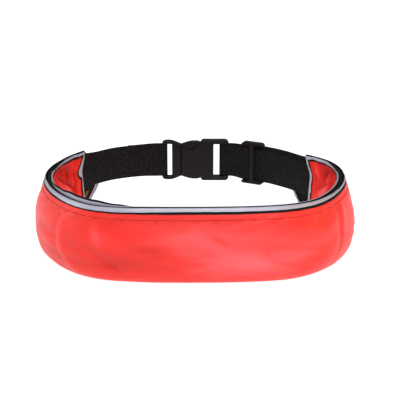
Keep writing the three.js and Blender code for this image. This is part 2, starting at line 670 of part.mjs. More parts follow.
// Both layers of the belt pass behind the middle bar and in front of the two outer bars
function sliderGeometry() {
  const slotHalf = (WEBBING_WIDTH + TAIL_DROP + SLOT_CLEARANCE) / 2;
  const half = slotHalf + SLIDER_RAIL;
  const side = SLIDER_WIDTH / 2;
  const corner = SLIDER_RAIL * 0.8;
  const outline = mirroredOutline([[-side, half - corner], [-side + corner, half],
    [side - corner, half], [side, half - corner]]);
  const frame = plate(outline, SLIDER_THICKNESS, 0.8);
  const room = LAYER_SPREAD + WEBBING_THICKNESS + 2 * SLIDER_CLEARANCE;
  const passage = block(-side - 1, side + 1, slotHalf, room);
  const cut = (left, right, face) => (
    block(left, right, slotHalf, SLIDER_THICKNESS, face * SLIDER_THICKNESS / 2));
  const rearWindow = cut(-side + SLIDER_BAR_WIDTH, side - SLIDER_BAR_WIDTH, 1);
  const frontLeft = cut(-side - 1, -SLIDER_BAR_WIDTH / 2, -1);
  const frontRight = cut(SLIDER_BAR_WIDTH / 2, side + 1, -1);
  const open = frame.subtract(passage).subtract(rearWindow);
  return geometryFrom(open.subtract(frontLeft).subtract(frontRight));
}

function piece(name, geometry, color, roughness, metalness = 0) {
  const material = new THREE.MeshStandardMaterial({ color, roughness, metalness });
  const mesh = new THREE.Mesh(geometry, material);
  mesh.name = name;
  return mesh;
}

const pack = new THREE.Group();
pack.add(piece('outer_panel', panelGeometry('outer'), NYLON_RED, 0.45));
pack.add(piece('inner_panel', panelGeometry('inner'), NYLON_RED, 0.45));
pack.add(piece('zip_strip', zipGeometry(), WEBBING_BLACK, 0.6));
pack.add(piece('outer_edge_tape', trimGeometry('outer'), WEBBING_BLACK, 0.7));
pack.add(piece('inner_edge_tape', trimGeometry('inner'), WEBBING_BLACK, 0.7));
pack.add(piece('outer_reflective_stripe', stripeGeometry('outer'), REFLECTIVE_SILVER, 0.35));
pack.add(piece('inner_reflective_stripe', stripeGeometry('inner'), REFLECTIVE_SILVER, 0.35));
pack.add(piece('mouth_tab', tabGeometry(), TAB_BROWN, 0.7));
pack.add(piece('belt_webbing', webbingGeometry(), WEBBING_BLACK, 0.8));

const buckle = new THREE.Group();
buckle.position.set(0, BUCKLE_REACH, BELT_HEIGHT);
buckle.add(piece('buckle_plug', plugGeometry(), PLASTIC_BLACK, 0.5));
buckle.add(piece('buckle_socket', socketGeometry(), PLASTIC_BLACK, 0.5));
pack.add(buckle);

const seat = beltPath.at(beltPath.length - SLIDER_FROM_BUCKLE);
const sliderMesh = piece('belt_slider', sliderGeometry(), PLASTIC_BLACK, 0.5);
sliderMesh.position.copy(seat.point);
sliderMesh.position.z -= TAIL_DROP / 2;
sliderMesh.rotation.z = Math.atan2(-seat.outward.x, seat.outward.y);
pack.add(sliderMesh);

// The origin is the middle of the pack's plan, on the surface that it stands on
pack.updateMatrixWorld(true);
const extent = new THREE.Box3().setFromObject(pack, true);
const middle = extent.getCenter(new THREE.Vector3());
pack.position.set(-middle.x, -middle.y, -extent.min.z);

export default pack;
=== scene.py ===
import math
from bisect import bisect_left

import bmesh
import bpy
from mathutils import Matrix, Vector, noise


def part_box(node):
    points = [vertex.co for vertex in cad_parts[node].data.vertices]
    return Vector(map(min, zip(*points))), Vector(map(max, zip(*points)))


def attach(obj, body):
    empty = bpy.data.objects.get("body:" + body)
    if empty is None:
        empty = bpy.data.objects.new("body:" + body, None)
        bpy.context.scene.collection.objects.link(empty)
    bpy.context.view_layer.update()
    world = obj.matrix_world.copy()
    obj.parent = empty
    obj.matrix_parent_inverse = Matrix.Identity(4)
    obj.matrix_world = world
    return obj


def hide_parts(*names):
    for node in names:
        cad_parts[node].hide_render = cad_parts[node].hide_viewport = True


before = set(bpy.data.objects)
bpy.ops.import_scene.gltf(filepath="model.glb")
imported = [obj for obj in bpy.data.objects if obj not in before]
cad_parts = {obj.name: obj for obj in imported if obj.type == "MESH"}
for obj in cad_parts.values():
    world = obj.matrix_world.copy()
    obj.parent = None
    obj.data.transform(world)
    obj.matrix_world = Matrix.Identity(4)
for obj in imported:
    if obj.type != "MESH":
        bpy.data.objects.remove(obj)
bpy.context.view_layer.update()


# The view: a long lens a little above the pack, which stands on a plain white table in soft
# studio light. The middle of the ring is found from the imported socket. Lengths are in millimetres
# from there, and metres() takes them to the shared frame.
SOCKET_REACH = 41
BUCKLE_REACH = 144
socket_low, socket_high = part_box("buckle_socket")
PACK_MIDDLE = Vector((1000 * socket_high[0] - SOCKET_REACH,
                      500 * (socket_low[1] + socket_high[1]) - BUCKLE_REACH, 0))
VIEW_DOWN = math.radians(17)
VIEW_DISTANCE = 1200
LOOK_HEIGHT = 82.5


def metres(point):
    return (Vector(point) + PACK_MIDDLE) / 1000


camera_data = bpy.data.cameras.new("Camera")
camera_data.lens = 98.7
camera_data.sensor_width = 36
camera_data.shift_x = 0.0125
camera_data.shift_y = -0.06625
camera = bpy.data.objects.new("Camera", camera_data)
camera.location = metres((0, -VIEW_DISTANCE * math.cos(VIEW_DOWN),
                          LOOK_HEIGHT + VIEW_DISTANCE * math.sin(VIEW_DOWN)))
camera.rotation_euler = (math.pi / 2 - VIEW_DOWN, 0, 0)
bpy.context.scene.collection.objects.link(camera)
bpy.context.scene.camera = camera
bpy.context.scene.view_settings.view_transform = "Standard"


def shader_of(material):
    return material.node_tree.nodes["Principled BSDF"]


def plain_material(name, color, roughness, gloss=0.5):
    material = bpy.data.materials.new(name)
    material.use_nodes = True
    inputs = shader_of(material).inputs
    inputs["Base Color"].default_value = (*color, 1)
    inputs["Roughness"].default_value = roughness
    inputs["Specular IOR Level"].default_value = gloss
    return material


def soft_light(name, place, aim, size, watts, color):
    data = bpy.data.lights.new(name, "AREA")
    data.shape = "RECTANGLE"
    data.size, data.size_y = size
    data.energy = watts
    data.color = color
    light = bpy.data.objects.new(name, data)
    light.location = place
    light.rotation_euler = (Vector(aim) - Vector(place)).to_track_quat("-Z", "Y").to_euler()
    bpy.context.scene.collection.objects.link(light)


floor_mesh = bpy.data.meshes.new("floor")
floor_mesh.from_pydata([(-6, -6, 0), (6, -6, 0), (6, 6, 0), (-6, 6, 0)], [], [(0, 1, 2, 3)])
floor = bpy.data.objects.new("floor", floor_mesh)
bpy.context.scene.collection.objects.link(floor)
white_table = plain_material("white_table", (0.4, 0.4, 0.4), 0.9)
shader_of(white_table).inputs["Emission Color"].default_value = (1, 1, 1, 1)
shader_of(white_table).inputs["Emission Strength"].default_value = 0.9
floor_mesh.materials.append(white_table)

world = bpy.context.scene.world or bpy.data.worlds.new("World")
bpy.context.scene.world = world
world.use_nodes = True
world.node_tree.nodes["Background"].inputs["Color"].default_value = (1, 1, 1, 1)
world.node_tree.nodes["Background"].inputs["Strength"].default_value = 0.22
soft_light("front_softbox", (0.30, -1.5, 0.9), (0.02, 0, 0.03), (0.7, 0.5), 7.4, (0.80, 0.88, 1))
soft_light("right_softbox", (1.5, -0.5, 0.7), (0, 0, 0.03), (0.6, 0.6), 8, (1, 0.46, 0.14))
soft_light("left_softbox", (-1.6, 0.1, 0.7), (0, 0, 0.03), (0.8, 0.8), 9, (1, 0.92, 0.92))
overhead = bpy.data.objects.new("overhead", bpy.data.lights.new("overhead", "SUN"))
overhead.data.energy = 1.7
overhead.data.angle = math.radians(16)
overhead.rotation_euler = Vector((0.05, -0.55, 1)).to_track_quat("Z", "Y").to_euler()
bpy.context.scene.collection.objects.link(overhead)


# Outer panel of the bag: coated nylon taffeta, cut as one wall with the flat bottom strip. It is
# narrow at the zip and full low down, and soft folds run through it where the bag bends.
BAG_HEIGHT = 79
ZIP_HALF_WIDTH = 161
ZIP_FRONT_REACH = 108.5
BULGE = 19
CLOTH = 1
BOTTOM_TUCK = 3
SEAM_INSET = 10
BOTTOM_WIDTH = 16.8
LIP_HALF_GAP = 2.7
LEFT_LIP_OVERHANG = 31
RIGHT_LIP_OVERHANG = 24
LEFT_LIP_TOP = 6
RIGHT_LIP_TOP = 4
LIP_BEND_RADIUS = 85
LIP_SETBACK = 9
FULLNESS = 1.0
SQUARENESS = 0.8
WALL_LENGTH = 1.1 * BAG_HEIGHT
TAPE_WIDTH = 7.4
PUCKER_DEPTH = 2.4
WAVE_DEPTH = 0.9
CREASE_DEPTH = 1.1
CRUMPLE_DEPTHS = (0.6, 2.4)
SMALL_CRUMPLE_DEPTHS = (0.2, 0.9)
ROW_STEPS = 24
ZIP_PLAN = [
    # across, along, outer share, inner share, lift
    (-0.826, 0.885, 0.34, 0.20, 0), (-0.888, 0.741, 0.40, 0.25, 0),
    (-0.940, 0.560, 0.50, 0.40, 0), (-0.980, 0.370, 0.62, 0.55, 0),
    (-1.000, 0.130, 0.74, 0.75, 0), (-0.980, -0.130, 0.80, 0.90, 0),
    (-0.932, -0.375, 0.82, 1, 0), (-0.862, -0.580, 0.82, 1, 0),
    (-0.765, -0.770, 0.76, 1, 0.010), (-0.640, -0.915, 0.68, 1, 0.015),
    (-0.465, -0.982, 0.70, 1, 0.010), (-0.210, -1.000, 0.74, 1, 0),
    (0.000, -1.000, 0.76, 1, 0), (0.215, -0.990, 0.76, 1, 0),
    (0.400, -0.968, 0.74, 1, 0), (0.580, -0.920, 0.72, 1, 0),
    (0.710, -0.835, 0.74, 1, 0.010), (0.800, -0.718, 0.80, 1, 0.015),
    (0.880, -0.535, 0.84, 1, 0), (0.946, -0.310, 0.84, 1, 0),
    (0.984, -0.090, 0.80, 0.90, 0), (0.998, 0.125, 0.72, 0.75, 0),
    (0.985, 0.340, 0.60, 0.55, 0), (0.945, 0.520, 0.48, 0.40, 0),
    (0.885, 0.645, 0.40, 0.25, 0), (0.818, 0.745, 0.34, 0.20, 0),
]
FOLDS = [
    # panel, along, down, length, width, turn in degrees, depth
    ("outer", 0.50, 0.30, 1.30, 0.16, 4, -0.020), ("outer", 0.42, 0.62, 0.90, 0.14, -8, -0.024),
    ("outer", 0.55, 0.60, 0.80, 0.15, 6, 0.020), ("outer", 0.29, 0.72, 0.55, 0.15, -30, -0.030),
    ("outer", 0.70, 0.72, 0.60, 0.16, 24, -0.030), ("outer", 0.21, 0.40, 0.45, 0.16, 60, 0.022),
    ("outer", 0.80, 0.45, 0.50, 0.16, -55, 0.022), ("inner", 0.035, 0.50, 0.42, 0.13, 48, -0.045),
    ("inner", 0.085, 0.42, 0.40, 0.12, 55, 0.040), ("inner", 0.130, 0.55, 0.45, 0.14, 40, -0.040),
    ("inner", 0.965, 0.50, 0.42, 0.13, -48, -0.045), ("inner", 0.915, 0.42, 0.40, 0.12, -55, 0.040),
    ("inner", 0.870, 0.55, 0.45, 0.14, -40, -0.040), ("inner", 0.40, 0.45, 0.80, 0.16, 10, -0.030),
    ("inner", 0.62, 0.50, 0.80, 0.16, -12, -0.030),
]

CREASES = [
    # panel, along, down, then in millimetres and degrees: half length, half width, turn, depth
    ("inner", 0.066, 0.24, 26, 9, -14, -6.5), ("inner", 0.070, 0.36, 26, 2.4, -22, -4.5),
    ("inner", 0.093, 0.46, 22, 6, -22, 5.0), ("inner", 0.115, 0.30, 10, 3, -35, 3.0),
    ("inner", 0.036, 0.38, 28, 5, 90, 2.8), ("inner", 0.937, 0.20, 22, 9, 12, -5.4),
    ("inner", 0.935, 0.36, 22, 2, 18, -3.6), ("inner", 0.950, 0.27, 14, 2, 22, -2.2),
    ("inner", 0.955, 0.46, 18, 5, 18, 4.5), ("inner", 0.978, 0.28, 15, 4, 90, 3.6),
    ("outer", 0.392, 0.67, 16, 3, 36, -1.9), ("outer", 0.450, 0.50, 13, 2.2, 3, -1.6),
    ("outer", 0.460, 0.56, 9, 2, 0, -1.2), ("outer", 0.483, 0.68, 12, 2.2, 4, -1.6),
    ("outer", 0.520, 0.62, 12, 2, -4, -1.2), ("outer", 0.547, 0.42, 9, 1.8, 15, -1.4),
    ("outer", 0.505, 0.42, 42, 8, 0, 2.4), ("outer", 0.650, 0.50, 50, 20, 0, 1.6),
    ("outer", 0.570, 0.60, 60, 22, 0, 1.6), ("outer", 0.700, 0.70, 40, 12, 24, 1.8),
    ("outer", 0.300, 0.62, 26, 9, -20, 1.4),
    ("outer", 0.687, 0.26, 12, 2, -25, -1.8), ("outer", 0.370, 0.36, 14, 3, 60, 1.6),
    ("outer", 0.315, 0.50, 22, 5, 70, 1.8), ("outer", 0.740, 0.45, 22, 4, -70, -1.8),
    ("outer", 0.300, 0.30, 14, 2.5, 75, -1.6), ("outer", 0.760, 0.32, 12, 2.5, -60, 1.6),
]


def smoothstep(x, low, high):
    t = min(1, max(0, (x - low) / (high - low)))
    return t * t * (3 - 2 * t)


def mix(a, b, t):
    return a + (b - a) * t


class Path:
    """A smooth line through points seen from above, measured, and bent inwards past its ends."""

    def __init__(self, points):
        count = len(points)
        ends = [2 * points[0] - points[1]] + points + [2 * points[-1] - points[-2]]
        self.samples = []
        for i in range(count - 1):
            p = ends[i:i + 4]
            gap = [max((p[k + 1] - p[k]).length, 0.01) ** 0.5 for k in range(3)]
            first = (p[1] - p[0]) / gap[0] - (p[2] - p[0]) / (gap[0] + gap[1])
            first = (first + (p[2] - p[1]) / gap[1]) * gap[1]
            last = (p[2] - p[1]) / gap[1] - (p[3] - p[1]) / (gap[1] + gap[2])
            last = (last + (p[3] - p[2]) / gap[2]) * gap[1]
            for j in range(ROW_STEPS):
                t = j / ROW_STEPS
                self.samples.append(
                    p[1] * (2 * t ** 3 - 3 * t * t + 1) + first * (t ** 3 - 2 * t * t + t)
                    + p[2] * (3 * t * t - 2 * t ** 3) + last * (t ** 3 - t * t))
        self.samples.append(points[-1].copy())
        self.marks = [0]
        for a, b in zip(self.samples, self.samples[1:]):
            self.marks.append(self.marks[-1] + (b - a).length)
        last = len(self.samples) - 1
        self.tangents = [
            (self.samples[min(last, i + 1)] - self.samples[max(0, i - 1)]).normalized()
            for i in range(last + 1)]
        self.length = self.marks[-1]

    def at(self, distance):
        """The point there, the direction outwards, and the share of the table's rows."""
        inside = min(self.length, max(0, distance))
        i = min(len(self.marks) - 2, max(0, bisect_left(self.marks, inside) - 1))
        t = (inside - self.marks[i]) / (self.marks[i + 1] - self.marks[i])
        tangent = self.tangents[i].lerp(self.tangents[i + 1], t).normalized()
        outward = Vector((tangent.y, -tangent.x, 0)).normalized()
        turn = (distance - inside) / LIP_BEND_RADIUS
        point = self.samples[i].lerp(self.samples[i + 1], t)
        point += LIP_BEND_RADIUS * (tangent * math.sin(turn) - outward * (1 - math.cos(turn)))
        outward = outward * math.cos(turn) + tangent * math.sin(turn)
        return point, outward, (i + t) / (len(self.samples) - 1)


zip_path = Path([Vector((row[0] * ZIP_HALF_WIDTH, row[1] * ZIP_FRONT_REACH, 0))
                 for row in ZIP_PLAN])


def plan_share(column, t):
    place = t * (len(ZIP_PLAN) - 1)
    i = min(len(ZIP_PLAN) - 2, int(place))
    return mix(ZIP_PLAN[i][column], ZIP_PLAN[i + 1][column], smoothstep(place - i, 0, 1))


def teardrop(angle):
    return max(0, math.sin(angle)) ** SQUARENESS * math.sin(angle / 2) ** FULLNESS


TEARDROP_PEAK = max(teardrop(math.radians(2 * i)) for i in range(91))


def ridged(x, y, seed, fine=2.2):
    """Sharp ridges up to 1, thinner where fine is larger."""
    return (1 - min(1, fine * abs(noise.noise(Vector((x, y, seed)))))) ** 2


def dent(dx, dy, run, side, turn):
    """A smooth hollow of depth 1, run long and side wide, turned by some degrees."""
    c, s = math.cos(math.radians(turn)), math.sin(math.radians(turn))
    return math.exp(-((dx * c + dy * s) / run) ** 2 - ((dy * c - dx * s) / side) ** 2)


def fold_depth(panel, along, down, length):
    total = 0
    for name, at_along, at_down, run_share, width_share, turn, depth in FOLDS:
        dx, dy = (along - at_along) * length, (down - at_down) * BAG_HEIGHT
        if name == panel:
            run, side = run_share * BAG_HEIGHT, width_share * BAG_HEIGHT
            total += depth * BAG_HEIGHT * dent(dx, dy, run, side, turn)
    for name, at_along, at_down, run, side, turn, depth in CREASES:
        dx, dy = (along - at_along) * length, (down - at_down) * BAG_HEIGHT
        if name == panel and abs(dx) < 2.5 * run + 2.5 * side:
            total += depth * dent(dx, dy, run, side, turn)
    x = along * length
    y = WALL_LENGTH / 2 * (1 - math.cos(math.pi * min(1, down)))
    below_tape = smoothstep(y, TAPE_WIDTH, TAPE_WIDTH + 4)
    if panel == "outer":
        puckers = ridged(x / 17 + y / 15, y / 40, 3, 5) * math.exp(-((y - 12) / 6) ** 2)
        waves = noise.noise(Vector((x / 55, y / 17, 8)))
        waves += 0.5 * noise.noise(Vector((x / 23, y / 9, 5)))
        creases = ridged(x / 60 - y / 70, y / 22, 12) * smoothstep(y, 26, 50)
        total += below_tape * (WAVE_DEPTH * waves - PUCKER_DEPTH * puckers
                               - CREASE_DEPTH * creases)
    else:
        end = 1 - smoothstep(min(x, length - x), 55, 120)
        lean = x if x < length / 2 else length - x
        crumple = ridged(lean / 30 - y / 42, (lean + y) / 60, 21)
        small = ridged(lean / 13 - y / 19, y / 30, 33)
        total += below_tape * (mix(*CRUMPLE_DEPTHS, end) * crumple
                               + mix(*SMALL_CRUMPLE_DEPTHS, end) * small)
    edges = math.sin(math.pi * min(1, max(0, down)))
    from_end = min(along, 1 - along) * length
    return total * edges * smoothstep(from_end, TAPE_WIDTH - 2, 2 * TAPE_WIDTH)


def end_edges(panel, height):
    if panel == "inner":
        return [-LIP_SETBACK * smoothstep(1 - height, 0, 0.3)] * 2
    bow, top = math.sin(math.pi * height), smoothstep(height, 0.6, 1)
    return (LEFT_LIP_OVERHANG * bow + LEFT_LIP_TOP * top,
            RIGHT_LIP_OVERHANG * bow + RIGHT_LIP_TOP * top)


def panel_point(panel, along, down):
    angle = math.pi * min(1, down)
    height = (1 + math.cos(angle)) / 2
    left, right = end_edges(panel, height)
    length = zip_path.length + left + right
    point, outward, t = zip_path.at(along * length - left)
    reach = teardrop(angle) / TEARDROP_PEAK * plan_share(2 if panel == "outer" else 3, t)
    fold = fold_depth(panel, along, down, length)
    lift = plan_share(4, t) * BAG_HEIGHT
    if panel == "outer":
        tuck = BOTTOM_TUCK * (1 - height) ** 2 + BOTTOM_WIDTH * max(0, down - 1)
        offset = LIP_HALF_GAP + BULGE * reach + fold - tuck
        z = mix(lift, BAG_HEIGHT, height)
    else:
        inset = SEAM_INSET * plan_share(3, t) * (1 - height) ** 2
        offset = -(LIP_HALF_GAP + BULGE * reach + fold + inset)
        z = mix(lift + CLOTH + 0.3, BAG_HEIGHT, height)
    spot = point + outward * offset
    return Vector((spot.x, spot.y, z))


def panel_frame(panel, along, down):
    """A point of the panel and the panel's outward normal there."""
    step = 0.002
    lowest = 2 if panel == "outer" else 1
    ahead = panel_point(panel, min(1, along + step), down)
    behind = panel_point(panel, max(0, along - step), down)
    below = panel_point(panel, along, min(lowest, down + step))
    above = panel_point(panel, along, max(0, down - step))
    normal = (ahead - behind).cross(below - above).normalized()
    return panel_point(panel, along, down), normal * (-1 if panel == "outer" else 1)


def station(i, count):
    """Even steps drawn together towards both ends, where the cloth is most creased."""
    share = i / count
    return share - 0.5 * math.sin(2 * math.pi * share) / (2 * math.pi)


def sheet_volume(mesh):
    mesh.calc_loop_triangles()
    v = mesh.vertices
    return sum(v[t.vertices[0]].co.dot(v[t.vertices[1]].co.cross(v[t.vertices[2]].co))
               for t in mesh.loop_triangles)


def slab(name, front, back, measure):
    """A closed sheet between two grids of points, with its cloth measured in metres as UV."""
    rows, columns = len(front), len(front[0])
    points = [metres(p) for grid in (front, back) for row in grid for p in row]
    flat = [uv for row in measure for uv in row] * 2
    other = rows * columns

    def at(i, j):
        return i * columns + j

    faces = []
    for i in range(rows - 1):
        for j in range(columns - 1):
            quad = (at(i, j), at(i + 1, j), at(i + 1, j + 1), at(i, j + 1))
            faces.append(quad)
            faces.append(tuple(other + k for k in reversed(quad)))
        for j, turn in ((0, 1), (columns - 1, -1)):
            quad = (at(i, j), other + at(i, j), other + at(i + 1, j), at(i + 1, j))
            faces.append(quad[::turn])
    for j in range(columns - 1):
        for i, turn in ((0, -1), (rows - 1, 1)):
            quad = (at(i, j), other + at(i, j), other + at(i, j + 1), at(i, j + 1))
            faces.append(quad[::turn])
    mesh = bpy.data.meshes.new(name)
    mesh.from_pydata(points, [], faces)
    layer = mesh.uv_layers.new(name="cloth")
    for loop in mesh.loops:
        u, v = flat[loop.vertex_index]
        layer.data[loop.index].uv = (u / 1000, v / 1000)
    piece = bpy.data.objects.new(name, mesh)
    bpy.context.scene.collection.objects.link(piece)
    if sheet_volume(mesh) < 0:
        mesh.flip_normals()
    mesh.shade_smooth()
    mesh.set_sharp_from_angle(angle=math.radians(50))
    return piece


def panel_sheet(panel, name, stations, steps):
    """One panel of the bag. Its folds are kept as relief too, in millimetres, for the cloth's
    painted shade in creases and painted highlight on puffs.
    """
    extra = 3 if panel == "outer" else 0
    front, back, measure, relief = [], [], [], []
    for i in range(stations + 1):
        along = station(i, stations)
        line = [panel_frame(panel, along, j / steps) for j in range(steps + 1)]
        line += [(panel_point(panel, along, 1 + j / extra), Vector((0, 0, -1)))
                 for j in range(1, extra + 1)]
        run, walked = [], 0
        for k, (point, normal) in enumerate(line):
            walked += (point - line[k - 1][0]).length if k else 0
            run.append((along * zip_path.length, walked))
        front.append([point for point, normal in line])
        back.append([point - normal * CLOTH for point, normal in line])
        measure.append(run)
        relief += [fold_depth(panel, along, j / steps, zip_path.length) for j in range(len(line))]
    piece = slab(name, front, back, measure)
    relief_of_both_faces = relief + relief
    relief_data = piece.data.attributes.new("relief", "FLOAT", "POINT").data
    relief_data.foreach_set("value", relief_of_both_faces)
    return piece


def node(material, kind, **values):
    made = material.node_tree.nodes.new(kind)
    for key, value in values.items():
        if key in made.inputs:
            made.inputs[key].default_value = value
        else:
            setattr(made, key, value)
    return made


def nylon_material(name, painted_crease_shade, middle, light, roughness, gloss):
    """Plain weave at 0.4 mm with a thin coating. Its colour is painted shade where the cloth is
    creased inwards and a painted pinkish highlight where it puffs outwards, with a little random
    tone.
    """
    material = plain_material(name, middle, roughness, gloss)
    shader = shader_of(material)
    link = material.node_tree.links.new
    place = node(material, "ShaderNodeTexCoord")
    cloudy = node(material, "ShaderNodeTexNoise", Scale=28.0, Detail=4.0)
    relief = node(material, "ShaderNodeAttribute", attribute_name="relief")
    depth = node(material, "ShaderNodeMapRange", **{"From Min": -4.4, "From Max": 4.4})
    random_tone_and_fold_shade = node(material, "ShaderNodeMath", operation="MULTIPLY_ADD")
    random_tone_and_fold_shade.inputs[1].default_value = 0.16
    # Colour ramp over fold depth: painted shade at the creased end, the cloth's own colour in the
    # middle, painted highlight at the puffed end.
    fold_shade_ramp = node(material, "ShaderNodeValToRGB")
    fold_shade_ramp.color_ramp.elements[0].color = (*painted_crease_shade, 1)
    fold_shade_ramp.color_ramp.elements[1].color = (*light, 1)
    fold_shade_ramp.color_ramp.elements.new(0.58).color = (*middle, 1)
    link(place.outputs["Object"], cloudy.inputs["Vector"])
    link(relief.outputs["Fac"], depth.inputs["Value"])
    link(cloudy.outputs["Fac"], random_tone_and_fold_shade.inputs[0])
    link(depth.outputs["Result"], random_tone_and_fold_shade.inputs[2])
    link(random_tone_and_fold_shade.outputs[0], fold_shade_ramp.inputs["Fac"])
    link(fold_shade_ramp.outputs["Color"], shader.inputs["Base Color"])
    threads = [node(material, "ShaderNodeTexWave", Scale=400.0, bands_direction=way)
               for way in ("X", "Y")]
    weave = node(material, "ShaderNodeMath", operation="MULTIPLY")
    for k, thread in enumerate(threads):
        link(place.outputs["UV"], thread.inputs["Vector"])
        link(thread.outputs["Fac"], weave.inputs[k])
    rough = node(material, "ShaderNodeMapRange",
                 **{"To Min": roughness - 0.05, "To Max": roughness + 0.08})
    link(cloudy.outputs["Fac"], rough.inputs["Value"])
    link(rough.outputs["Result"], shader.inputs["Roughness"])
    crinkle = node(material, "ShaderNodeTexNoise", Scale=220.0, Detail=5.0, Roughness=0.6)
    link(place.outputs["UV"], crinkle.inputs["Vector"])
    soft = node(material, "ShaderNodeBump", Strength=0.25, Distance=0.0008)
    fine = node(material, "ShaderNodeBump", Strength=0.25, Distance=0.00008)
    link(crinkle.outputs["Fac"], soft.inputs["Height"])
    link(weave.outputs[0], fine.inputs["Height"])
    link(soft.outputs["Normal"], fine.inputs["Normal"])
    link(fine.outputs["Normal"], shader.inputs["Normal"])
    return material


# In each nylon the first tone is painted shade in the creases and the last tone is a painted
# highlight on the puffed parts; the middle tone is the cloth's own colour.
red_nylon = nylon_material(
    "red_nylon", (0.46, 0.009, 0.007), (0.80, 0.027, 0.019), (0.90, 0.112, 0.124),
    roughness=0.42, gloss=0.32)
black_nylon = nylon_material(
    "black_nylon", (0.003, 0.003, 0.003), (0.004, 0.004, 0.005), (0.006, 0.006, 0.007),
    roughness=0.6, gloss=0.12)


def line_with_black(piece, outside):
    """Everything but the outside of a panel, its raw edges too, is backed with black cloth."""
    piece.data.materials.append(outside)
    piece.data.materials.append(black_nylon)
    half = len(piece.data.vertices) // 2
    for face in piece.data.polygons:
        if max(face.vertices) >= half:
            face.material_index = 1


outer_panel = panel_sheet("outer", "outer_panel_cloth", stations=340, steps=46)
line_with_black(outer_panel, red_nylon)
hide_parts("outer_panel")
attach(outer_panel, "root")


# Inner panel: the same nylon against the wearer. It lies lower and is badly crumpled behind
# both mouths, where the bag bends round to the belt.
# A darker copy of the nylon: its deeper crease tone is painted shade inside the crumpled mouths,
# and its light tone is a painted highlight.
shaded_inner_nylon = nylon_material(
    "red_nylon_inner_shaded", (0.20, 0.0015, 0.001), (0.76, 0.024, 0.016), (0.95, 0.115, 0.110),
    roughness=0.5, gloss=0.15)
inner_panel = panel_sheet("inner", "inner_panel_cloth", stations=340, steps=42)
line_with_black(inner_panel, shaded_inner_nylon)
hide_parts("inner_panel")
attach(inner_panel, "root")


# Zip: black woven zip tape between the two lips, with its moulded coil closed along the middle.
# Its slider doesn't show at either mouth, so none is made.
ZIP_WIDTH = 2.8
ZIP_THICKNESS = 1.6
TAPE_SINK = 0.7
COIL_SINK = 0.5
COIL_PITCH = 1.3
ZIP_STEPS = 300
COIL_STEPS = 600


def woven_material(name, color, thread_scale, roughness, bump):
    """Narrow tape with threads both ways."""
    material = plain_material(name, color, roughness, 0.15)
    shader = shader_of(material)
    link = material.node_tree.links.new
    place = node(material, "ShaderNodeTexCoord")
    threads = [node(material, "ShaderNodeTexWave", Scale=thread_scale, bands_direction=way)
               for way in ("X", "Y")]
    weave = node(material, "ShaderNodeMath", operation="ADD")
    for k, thread in enumerate(threads):
        link(place.outputs["UV"], thread.inputs["Vector"])
        link(thread.outputs["Fac"], weave.inputs[k])
    raised = node(material, "ShaderNodeBump", Strength=0.6, Distance=bump)
    link(weave.outputs[0], raised.inputs["Height"])
    link(raised.outputs["Normal"], shader.inputs["Normal"])
    shade = node(material, "ShaderNodeMix", data_type="RGBA")
    shade.inputs["A"].default_value = (*[0.55 * c for c in color], 1)
    shade.inputs["B"].default_value = (*[min(1, 1.5 * c) for c in color], 1)
    half = node(material, "ShaderNodeMath", operation="MULTIPLY")
    half.inputs[1].default_value = 0.5
    link(weave.outputs[0], half.inputs[0])
    link(half.outputs[0], shade.inputs["Factor"])
    link(shade.outputs["Result"], shader.inputs["Base Color"])
    return material


def zip_line(i, count, offset, z):
    point, outward, t = zip_path.at(station(i, count) * zip_path.length)
    spot = point + outward * offset
    return Vector((spot.x, spot.y, z))


black_tape = woven_material("black_woven_tape", (0.004, 0.004, 0.005),
                            thread_scale=330, roughness=0.7, bump=0.00012)
offsets = [-ZIP_WIDTH / 2, -0.5, 0.5, ZIP_WIDTH / 2]
zip_top, zip_underside = [
    [[zip_line(i, ZIP_STEPS, offset, z) for offset in offsets] for i in range(ZIP_STEPS + 1)]
    for z in (BAG_HEIGHT - TAPE_SINK, BAG_HEIGHT - ZIP_THICKNESS)]
zip_tape = slab("zip_tape", zip_top, zip_underside,
                [[(station(i, ZIP_STEPS) * zip_path.length, offset) for offset in offsets]
                 for i in range(ZIP_STEPS + 1)])
zip_tape.data.materials.append(black_tape)
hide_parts("zip_strip")
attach(zip_tape, "root")


